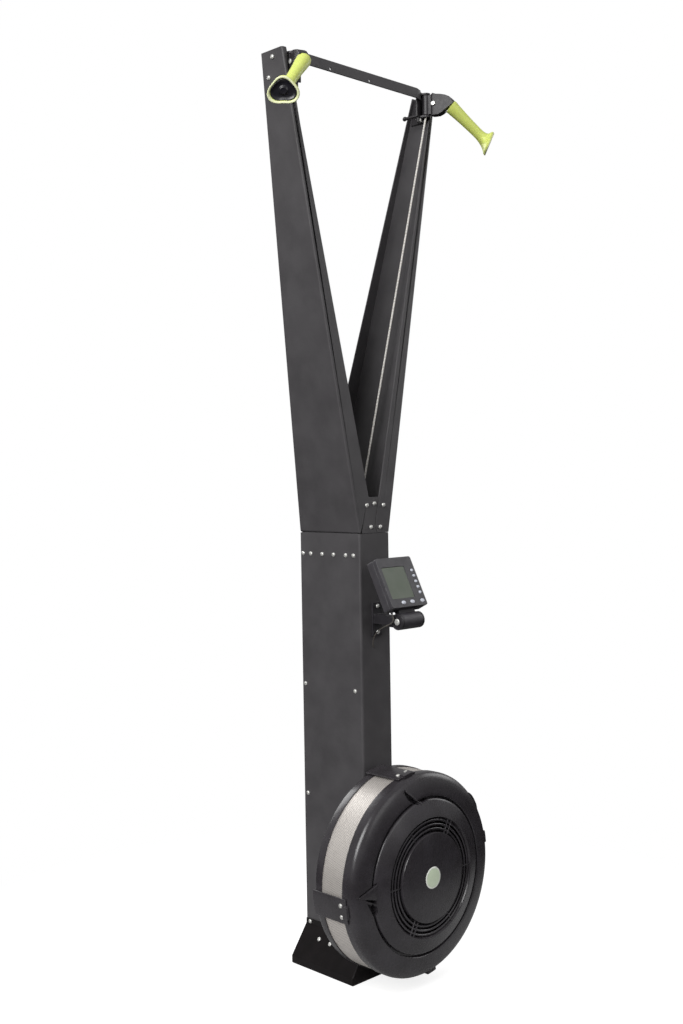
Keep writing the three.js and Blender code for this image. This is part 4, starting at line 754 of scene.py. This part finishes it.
LOW = 160.0                  # rear face of the grille, forward of the column, mm
cover = turned("front_cage_cover", [
    (234.3, 109), (234.3, 126), (233.6, 130), (231.6, 134), (228.4, 137.6), (224, 140.6), (218, 143.2),
    (210, 145.4), (200, 147.4), (190, 149), (184.6, 149.8), (183.2, 149.6), (182.2, 148.6), (181.8, 146.8),
    (181.6, 140.6), (177.2, 140.4), (176.8, 146), (176.4, 149.4), (175.2, 151), (172, 152.4), (141, 164.2),
    (138.6, 164.8), (137.2, 164.2), (136.6, 162.5), (134, LOW), (133, LOW - 3), (170, 146), (174, 137.5),
    (186, 137.5), (190, 143.5), (218, 139.6), (231.3, 128), (231.3, 109), (234.3, 109)], 144)
disc = turned("front_cage_disc", [
    (0, 165), (96.7, 165), (96.7, 120.7), (102.7, 120.7), (102.7, 123.7), (99.7, 123.7), (99.7, LOW),
    (102.5, LOW), (102.5, 166.6), (101.9, 167.6), (100.6, 168), (0, 168)], 96)
DISC_RADIUS, RING_GAP, RING_PITCH, RING_WIDTH = 102.5, 5.25, 9.75, 4.5
rings = []
for number in range(3):
    inner = DISC_RADIUS + RING_GAP + number * RING_PITCH
    rings.append(turned(f"grille_ring_{number}", [
        (inner, LOW), (inner + RING_WIDTH, LOW), (inner + RING_WIDTH, LOW + 2.2), (inner + 3.6, LOW + 3),
        (inner + 0.9, LOW + 3), (inner, LOW + 2.2), (inner, LOW)], 96))
RIB_MIDDLE, RIB_LENGTH, RIB_WIDTH, RIB_THICK, RIB_RISE = 119.5, 36, 2.6, 3.4, 1.8
ribs = []
for angle in range(0, 360, 60):
    for shift in ((-6, 6) if angle in (60, 240) else (0,)):
        bpy.ops.object.select_all(action="DESELECT")
        bpy.ops.mesh.primitive_cube_add(size=1,
                                        location=(RIB_MIDDLE * MM, shift * MM, (LOW + RIB_RISE) * MM),
                                        scale=(RIB_LENGTH * MM, RIB_WIDTH * MM, RIB_THICK * MM))
        rib = bpy.context.object
        place(rib, Matrix.Rotation(math.radians(angle), 4, "Z"))
        round_edges(rib, 0.5)
        ribs.append(rib)


def skin(radius):
    """Height of the cover's face between its rim and the grille, in mm."""
    steps = ((168, 153.6), (176, 151), (184, 150), (200, 147.6), (219, 143))
    for (r0, h0), (r1, h1) in zip(steps, steps[1:]):
        if radius <= r1:
            return h0 + (h1 - h0) * (radius - r0) / (r1 - r0)
    return steps[-1][1]


def sector_shape(name, corners, low, high, grow=1.0):
    """A prism on the cover's face, from corners given as radius and degrees."""
    points = [Vector((r * math.cos(math.radians(a)), r * math.sin(math.radians(a)))) for r, a in corners]
    middle = sum(points, Vector((0, 0))) / len(points)
    piece = prism(name, [middle + (point - middle) * grow for point in points], high - low)
    place(piece, Matrix.Translation((0, 0, low * MM)))
    return piece


FIN_ROOT, FIN_TOP = 141, 150               # heights of a rib before its top is laid on the face, mm
POCKET_FLOOR, FLOOR_TOP, POCKET_TOP = 136, 146, 158
LINER_LOW, LINER_TOP, LINER_GROW = 133, 144.5, 1.2


def fin(name, corners, rise):
    """A rib or a beak that stands `rise` above the cover's face."""
    piece = sector_shape(name, corners, FIN_ROOT, FIN_TOP)
    for vertex in piece.data.vertices:
        if vertex.co.z > (FIN_TOP - 1) * MM:
            vertex.co.z = (skin(math.hypot(vertex.co.x, vertex.co.y) / MM) + rise) * MM
    round_edges(piece, 0.5, 3)
    return piece


POCKETS = {
    "beak_groove": [(170, 171.0), (170, 172.5), (214, 179.1), (217.5, 178.9), (214, 178.3)],
    "beak_hollow": [(199, 181.3), (171, 184.3), (171, 187.3), (199, 182.2)],
    "lower_hollow": [(196, 184.6), (171, 188.9), (171, 194), (182, 197.4)],
    "upper_leaf": [(217, 107.4), (210, 108.4), (195, 107.4), (180, 103.6), (171, 98.6), (178, 99.9),
                   (193, 102.6)],
    "upper_hollow": [(184, 97.3), (172, 94.8), (177, 86.3)],
}
trims = [
    fin("beak", [(171, 172.9), (190, 176.3), (214, 179.4), (216, 179.9), (210, 180.5), (193, 181.9),
                 (171, 184.0)], 1.4),
    fin("lower_rib", [(216, 180.1), (169, 187.6), (169, 188.5), (216, 180.7)], 0.6),
    fin("upper_rib", [(219, 106.7), (169, 95.6), (169, 96.3), (219, 107.2)], 0.8)]
for name, corners in POCKETS.items():
    liner = sector_shape(f"{name}_liner", corners, LINER_LOW, LINER_TOP, LINER_GROW)
    cut(liner, sector_shape(f"{name}_floor", corners, POCKET_FLOOR, FLOOR_TOP))
    trims.append(liner)
    cut(cover, sector_shape(name, corners, POCKET_FLOOR, POCKET_TOP))
front_cover = merged("front_cage_cover", [cover, disc, *rings, *ribs, *trims])
place(front_cover, ON_AXLE)
smooth(front_cover, 32)
settle(front_cover, "frame", GLOSS_ABS, "front_cover", slot="gloss_black_plastic")

badge = turned("hub_badge", [(0, 168.3), (24.6, 168.3), (25, 168.7), (24.6, 169.3), (23.2, 169.7),
                             (22, 169.5), (21, 169.7), (8, 170.1), (0, 170.2)], 64)
place(badge, ON_AXLE)
smooth(badge, 60)
settle(badge, "frame", LABEL)


# Handles and cords

MOUTH_AHEAD, MOUTH_HEIGHT = 65, 2088.25    # middle of the housing's mouth, mm
MOUTH = HEAD + NOSE * MOUTH_AHEAD + Vector((0, 0, MOUTH_HEIGHT))
MOUTH_OUT = NOSE * 10.5 + Vector((0, 0, -18))
MOUTH_OUT.normalize()


def hanging(azimuth, dip):
    """A direction from degrees outwards from straight ahead and degrees below level."""
    azimuth, dip = math.radians(azimuth), math.radians(dip)
    return Vector((math.cos(dip) * math.sin(azimuth), -math.cos(dip) * math.cos(azimuth), -math.sin(dip)))


PULL = {"left": hanging(68.8, 42.8), "right": hanging(67.2, 38.5)}
TOP_END = {"left": -4.0, "right": 0.0}     # where the handle's top meets its housing, along the pull, mm
SEAT_RADIUS, SEAT_DEPTH, SEAT_GAP = 19, 30, 0.4
GRIP_LENGTH, KNOT_AT = 136, 127.5          # from the mouth, along the pull, mm
FOOT_WAY = hanging(44.6, 23.8)


def axes(way):
    """Axes across, up and along a direction, as a matrix."""
    across = Vector((0, 0, 1)).cross(way).normalized()
    return Matrix((across, way.cross(across), way)).transposed()


def ring_stack(name, pull, rings):
    """Rings along a handle: place, half widths across and up, how three-cornered, how turned to the foot."""
    bpy.ops.object.select_all(action="DESELECT")
    bpy.ops.mesh.primitive_circle_add(vertices=36, radius=MM, fill_type="NGON")
    piece = bpy.context.object
    piece.name = name
    edit(piece)
    bpy.ops.transform.resize(value=(rings[0][1], rings[0][2], 1))
    bpy.ops.transform.translate(value=(0, 0, rings[0][0] * MM))
    for before, after in zip(rings, rings[1:]):
        step = (0, 0, (after[0] - before[0]) * MM)
        bpy.ops.mesh.extrude_region_move(TRANSFORM_OT_translate={"value": step})
        bpy.ops.transform.resize(value=(after[1] / before[1], after[2] / before[2], 1))
    finish_edit()
    upright = axes(pull).transposed()
    known = {round(ring[0], 2): ring for ring in rings}
    for vertex in piece.data.vertices:
        t, _, _, corner, tilt = known[round(vertex.co.z / MM, 2)]
        swell = 1 + corner * math.cos(3 * (math.atan2(vertex.co.y, vertex.co.x) - math.pi / 2))
        turn = upright @ axes(pull.lerp(FOOT_WAY, tilt).normalized())
        vertex.co = turn @ Vector((vertex.co.x * swell, vertex.co.y * swell, 0)) + Vector((0, 0, t * MM))
    outward(piece)
    apply_modifier(piece, "SUBSURF", levels=2, render_levels=2)
    place(piece, Matrix.Translation(MOUTH * MM) @ axes(pull).to_4x4())
    return piece


def grip(name, side):
    """The handle: rings pulled along its shaft, spread into a slanted three-cornered foot with a hollow."""
    piece = ring_stack(name, PULL[side], [
        (-24, 17, 17, 0, 0), (4, 16.7, 16.7, 0, 0), (20, 15.3, 15.3, 0, 0), (46, 13.7, 13.7, 0, 0),
        (70, 12.9, 12.9, 0, 0), (92, 12.4, 12.4, 0, 0), (103, 13, 12.8, 0.02, 0.1),
        (111, 15.2, 14.2, 0.05, 0.3), (117.5, 18.4, 16.2, 0.08, 0.6), (122.6, 23.2, 19.6, 0.1, 0.85),
        (126.6, 29, 24.2, 0.11, 1), (128.8, 32.4, 26.8, 0.11, 1), (131, 33.4, 27.6, 0.11, 1),
        (134.4, 33.5, 27.7, 0.11, 1), (135.8, 32.8, 27, 0.11, 1), (136, 31, 25.2, 0.11, 1),
        (135.1, 29.2, 23.4, 0.11, 1), (132.4, 28.2, 22.4, 0.11, 1), (127.2, 26.6, 21, 0.11, 1),
        (125.4, 12, 10, 0.03, 1)])
    edit(piece)
    bpy.ops.mesh.bisect(plane_co=(MOUTH + PULL[side] * TOP_END[side]) * MM, plane_no=PULL[side] + MOUTH_OUT,
                        use_fill=True, clear_inner=True)
    finish_edit()
    round_edges(piece, 1.3, 3, 50)
    smooth(piece, 45)
    return piece


def foot_plug(name, pull):
    """The dark dished plug in the hollow of the foot, with a boss over the cord's knot."""
    plug = ring_stack(name, pull, [
        (127, 26.4, 20.8, 0.11, 1), (131.6, 27.7, 22, 0.11, 1), (133.4, 27.3, 21.6, 0.11, 1),
        (133.6, 25.6, 20, 0.11, 1), (132.2, 23.8, 18.4, 0.11, 1), (130.6, 21, 16, 0.1, 1),
        (130.2, 12, 11, 0.04, 1), (130.8, 9.4, 9.2, 0, 1), (133.0, 8, 8, 0, 1), (133.8, 6.6, 6.6, 0, 1),
        (133.1, 4.8, 4.8, 0, 1)])
    smooth(plug, 50)
    return plug


def along(side, t):
    """A place along the pull cord of one side, in mm."""
    sign = SIDES[side]
    spot = MOUTH + PULL[side] * t
    return Vector((sign * spot.x, spot.y, spot.z))


def line(name, points, radius):
    """A round cord through points in mm."""
    curve = bpy.data.curves.new(name, "CURVE")
    curve.dimensions = "3D"
    curve.bevel_depth = radius * MM
    curve.bevel_resolution = 3
    curve.use_fill_caps = True
    spline = curve.splines.new("POLY")
    spline.points.add(len(points) - 1)
    for knot, point in zip(spline.points, points):
        knot.co = (*(Vector(point) * MM), 1)
    piece = bpy.data.objects.new(name, curve)
    bpy.context.scene.collection.objects.link(piece)
    select_only(piece)
    bpy.ops.object.convert(target="MESH")
    outward(piece)
    smooth(piece, 60)
    return piece


for side, sign in SIDES.items():
    pull = Vector((sign * PULL[side].x, PULL[side].y, PULL[side].z))
    handle = grip(f"{side}_grip", side)
    plug = foot_plug(f"{side}_foot_plug", PULL[side])
    seat_way = PULL[side] + MOUTH_OUT
    seat = rod(f"{side}_seat", SEAT_RADIUS, SEAT_DEPTH, 64, 0.3)
    seat_place = along(side, TOP_END[side] - SEAT_GAP)
    place(seat, toward(seat_place, (sign * seat_way.x, seat_way.y, seat_way.z)))
    shell = dressed(f"{side}_pulley_housing", f"{side}_head_housing", edge=0)
    cut(shell, seat)
    round_edges(shell, 1.3, 3, 32)
    smooth(shell, 32)
    level_shading(shell)
    settle(shell, f"{side}_head", HOUSING, f"{side}_pulley_housing", slot="black_plastic")
    if sign < 0:
        flipped(handle)
        flipped(plug)
    foot_way = Vector((sign * FOOT_WAY.x, FOOT_WAY.y, FOOT_WAY.z))
    lime = moulded_lime_elastomer(f"{side}_moulded_lime_elastomer", along(side, 0), foot_way,
                                  GRIP_LENGTH * foot_way.dot(pull))
    settle(handle, f"{side}_grip", lime, f"{side}_handle", slot="lime_grip")
    settle(plug, f"{side}_grip", PLUG, slot="black_plastic")
    cord_points = [along(side, t) for t in (-14, -13, -12, 4, 5, 60, 125)]
    pull_cord = line(f"{side}_pull_cord", cord_points, CORD_RADIUS)
    knot = turned(f"{side}_cord_knot", [(0, -5), (2.4, -4.6), (4.4, -2.8), (4.8, -1), (4.1, 0), (4.8, 1.1),
                                        (4.4, 2.9), (2.4, 4.6), (0, 5)], 24)
    place(knot, toward(along(side, KNOT_AT), pull))
    apply_modifier(knot, "SUBSURF", levels=1, render_levels=1)
    smooth(knot, 60)
    settle(knot, f"{side}_grip", CORD, f"{side}_cord_end", slot="cord_white")
    pull_cord.data.materials.append(CORD)
    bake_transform(pull_cord)

GUIDE_HEIGHT, GUIDE_PITCH, GUIDE_X, DRUM_X = 1085.0, 15.0, 20.0, 22.7
ARM_RUN, ARM_RISE, CORD_TOP = 220, 991, 2077     # the cord's way up the arm, mm
ARC_STEPS = 8                                    # steps of the cord round its guide pulley
CORD_Y = {"left": -61.9, "right": -41.9}
for side, sign in SIDES.items():
    y = CORD_Y[side]
    lean = math.atan2(ARM_RUN, ARM_RISE)
    fall = math.atan2(sign * DRUM_X - (GUIDE_X - GUIDE_PITCH), GUIDE_HEIGHT - WHEEL_HEIGHT)
    arc = [lean + (-fall - lean) * step / ARC_STEPS for step in range(ARC_STEPS + 1)]
    points = [(sign * HEAD.x, HEAD.y, CORD_TOP)]
    points += [(sign * (GUIDE_X - GUIDE_PITCH * math.cos(a)), y, GUIDE_HEIGHT + GUIDE_PITCH * math.sin(a))
               for a in arc]
    points.append((DRUM_X, y, WHEEL_HEIGHT))
    settle(line(f"{side}_drive_line", points, CORD_RADIUS), "frame", CORD, f"{side}_drive_cord",
           slot="cord_white")


# Monitor

PIVOT = Vector((0, -204.5, 851.5))
TILT = math.radians(26.8)
TILTED = Matrix.Translation(PIVOT * MM) @ Matrix.Rotation(-TILT, 4, "X")
FACE = -23.1                 # the face in the monitor's own level frame, mm
MIDDLE = 87.8                # height of the face's middle above the pivot, mm
KEY_PROUD, KEY_TALL = 1.1, 9.2             # how far a key stands out, and its whole depth, mm
SIDE_KEY_X, SIDE_KEY_TOP, SIDE_KEY_PITCH = 48.9, 26.4, 14.05
BASE_KEY_XS, BASE_KEY_DROP = (-17.4, 12.4, 46.7), 50.3
EAR_FACE = 36.9              # outer face of the bracket's ears, from the middle, mm


def key_cap(name, x, z, half_wide, half_high):
    """A soft domed key that stands out of the face."""
    cap = turned(name, [(0, 0), (0.96, 0), (1, 0.1), (1, 7.6), (0.93, 8.5), (0.7, 9.0),
                        (0.3, KEY_TALL), (0, KEY_TALL)], 28)
    place(cap, Matrix.Diagonal((half_wide, half_high, 1, 1)))
    turn = Matrix.Rotation(math.pi / 2, 4, "X")
    place(cap, TILTED @ Matrix.Translation(Vector((x, FACE - KEY_PROUD + KEY_TALL, z)) * MM) @ turn)
    smooth(cap, 50)
    return cap


for number in range(5):
    height = MIDDLE + SIDE_KEY_TOP - number * SIDE_KEY_PITCH
    settle(key_cap(f"side_key_{number + 1}", SIDE_KEY_X, height, 4.6, 3.6),
           f"side_button_{number + 1}", KEY, f"side_button_{number + 1}", slot="key_grey")
for number, x in enumerate(BASE_KEY_XS):
    settle(key_cap(f"base_key_{number + 1}", x, MIDDLE - BASE_KEY_DROP, 7.0, 4.6),
           f"base_button_{number + 1}", KEY, f"base_button_{number + 1}", slot="key_grey")

for half in ("front", "rear"):
    settle(dressed(f"monitor_{half}_case", f"monitor_{half}_shell", 0.8, 3, 30), "monitor", CASE_ABS,
           f"monitor_{half}_case", slot="black_plastic")
settle(dressed("lcd_window", "display_window", 0.3, 2, 30), "monitor", DISPLAY, "lcd_window", slot="screen")


def hinge_bolt():
    """Head and washer at the left ear, shank, and nut at the right ear, along X."""
    head = turned("hinge_head", [(0, 3.5), (3.4, 3.5), (3.8, 2.2), (6.2, 2.2), (7.3, 1.6), (7.7, 0.8),
                                 (7.7, 0), (4, 0), (4, -74.4), (0, -74.4)], 32)
    place(head, toward((-EAR_FACE - 0.4, 0, 0), (-1, 0, 0)))
    nut = rod("hinge_nut", 6.5, 3.4, 6, 0.6)
    place(nut, toward((EAR_FACE + 0.4, 0, 0), (1, 0, 0)))
    piece = merged("monitor_hinge_bolt", [head, nut])
    place(piece, Matrix.Translation(PIVOT * MM))
    smooth(piece, 40)
    return piece


settle(hinge_bolt(), "frame", ZINC, "monitor_pivot_bolt", slot="steel")

ear_rings = []
for radius in (9.5, 14.5):
    ring = turned("ear_ring", [(radius, 0), (radius + 2, 0), (radius + 1.6, 1.3), (radius + 0.4, 1.3),
                               (radius, 0)], 40)
    place(ring, toward(PIVOT + Vector((-EAR_FACE, 0, 0)), (-1, 0, 0)))
    ear_rings.append(ring)
rings_piece = merged("yoke_ear_rings", ear_rings)
smooth(rings_piece, 40)
settle(rings_piece, "frame", GLOSS_ABS, slot="black_plastic")

cable_points = [
    (-44, -195.1, 870.1), (-44, -197.5, 865), (-44, -199.3, 860), (-44, -198.5, 855),
    (-43.8, -194.5, 849.8), (-43.3, -187, 845.6), (-42.2, -179.5, 842.6), (-40.5, -171, 839.6),
    (-38, -162, 836.4), (-35.2, -152, 832.4), (-32, -142, 827.6), (-28.8, -131.5, 820.6),
    (-25.6, -121, 811.6), (-22.4, -114, 802.4), (-19.2, -109, 795), (-15.5, -105.6, 788),
    (-12, -103.4, 782.4)]
settle(line("monitor_lead", cable_points, 1.5), "frame", RUBBER, "monitor_cable", slot="black_rubber")


# Stage

def plain(name):
    """An empty material and its node tree."""
    material = bpy.data.materials.new(name)
    material.use_nodes = True
    material.node_tree.nodes.clear()
    return material, material.node_tree


# White paper: it takes the shadow near the machine, and turns to plain white farther out
paper, tree = plain("paper_floor")
path = add_node(tree, "ShaderNodeLightPath")
where = add_node(tree, "ShaderNodeTexCoord").outputs["Object"]
away = add_node(tree, "ShaderNodeVectorMath", {0: where}, operation="LENGTH")
far = add_node(tree, "ShaderNodeMapRange", {"Value": away.outputs["Value"], "From Min": 0.5, "From Max": 1.2},
               interpolation_type="SMOOTHSTEP")
diffuse = add_node(tree, "ShaderNodeBsdfDiffuse", {"Color": (0.45, 0.45, 0.45, 1)})
lift = add_node(tree, "ShaderNodeMath", {0: path.outputs["Is Camera Ray"], 1: 0.78}, operation="MULTIPLY")
glow = add_node(tree, "ShaderNodeEmission", {"Color": (1, 1, 1, 1), "Strength": lift.outputs[0]})
near_paper = add_node(tree, "ShaderNodeAddShader", {0: diffuse.outputs[0], 1: glow.outputs[0]})
white = add_node(tree, "ShaderNodeEmission", {"Color": (1, 1, 1, 1),
                                              "Strength": path.outputs["Is Camera Ray"]})
mix = add_node(tree, "ShaderNodeMixShader", {0: far.outputs["Result"], 1: near_paper.outputs[0],
                                             2: white.outputs[0]})
add_node(tree, "ShaderNodeOutputMaterial", {"Surface": mix.outputs[0]})

bpy.ops.object.select_all(action="DESELECT")
bpy.ops.mesh.primitive_plane_add(size=60, location=(0, 0, -0.0005))
floor = bpy.context.object
floor.name = "studio_floor"
floor.data.materials.append(paper)

world = bpy.data.worlds.new("studio_world")
bpy.context.scene.world = world
world.use_nodes = True
tree = world.node_tree
tree.nodes.clear()
path = add_node(tree, "ShaderNodeLightPath")
level = add_node(tree, "ShaderNodeMapRange", {"Value": path.outputs["Is Camera Ray"],
                                              "To Min": 0.34, "To Max": 1.0})
sky = add_node(tree, "ShaderNodeBackground", {"Color": (1, 1, 1, 1), "Strength": level.outputs["Result"]})
add_node(tree, "ShaderNodeOutputWorld", {"Surface": sky.outputs[0]})


def lamp(name, where, target, size, power):
    """A large soft lamp that faces a point, in metres."""
    bpy.ops.object.light_add(type="AREA", location=where)
    light = bpy.context.object
    light.name = name
    light.data.size = size
    light.data.energy = power
    turn = Vector((0, 0, -1)).rotation_difference(Vector(target) - Vector(where))
    light.matrix_world = Matrix.Translation(where) @ turn.to_matrix().to_4x4()


lamp("key_lamp", (-3.8, -1.2, 3.2), (0, 0, 1.1), 2.6, 185)
lamp("front_lamp", (0.6, -4.2, 2.6), (0, 0, 1.0), 2.4, 20)
lamp("right_lamp", (3.6, -0.8, 2.2), (0, 0, 1.0), 2.0, 28)
lamp("rear_lamp", (0.4, 3.6, 3.0), (0, 0, 1.2), 2.4, 70)

bpy.context.scene.view_settings.view_transform = "Standard"
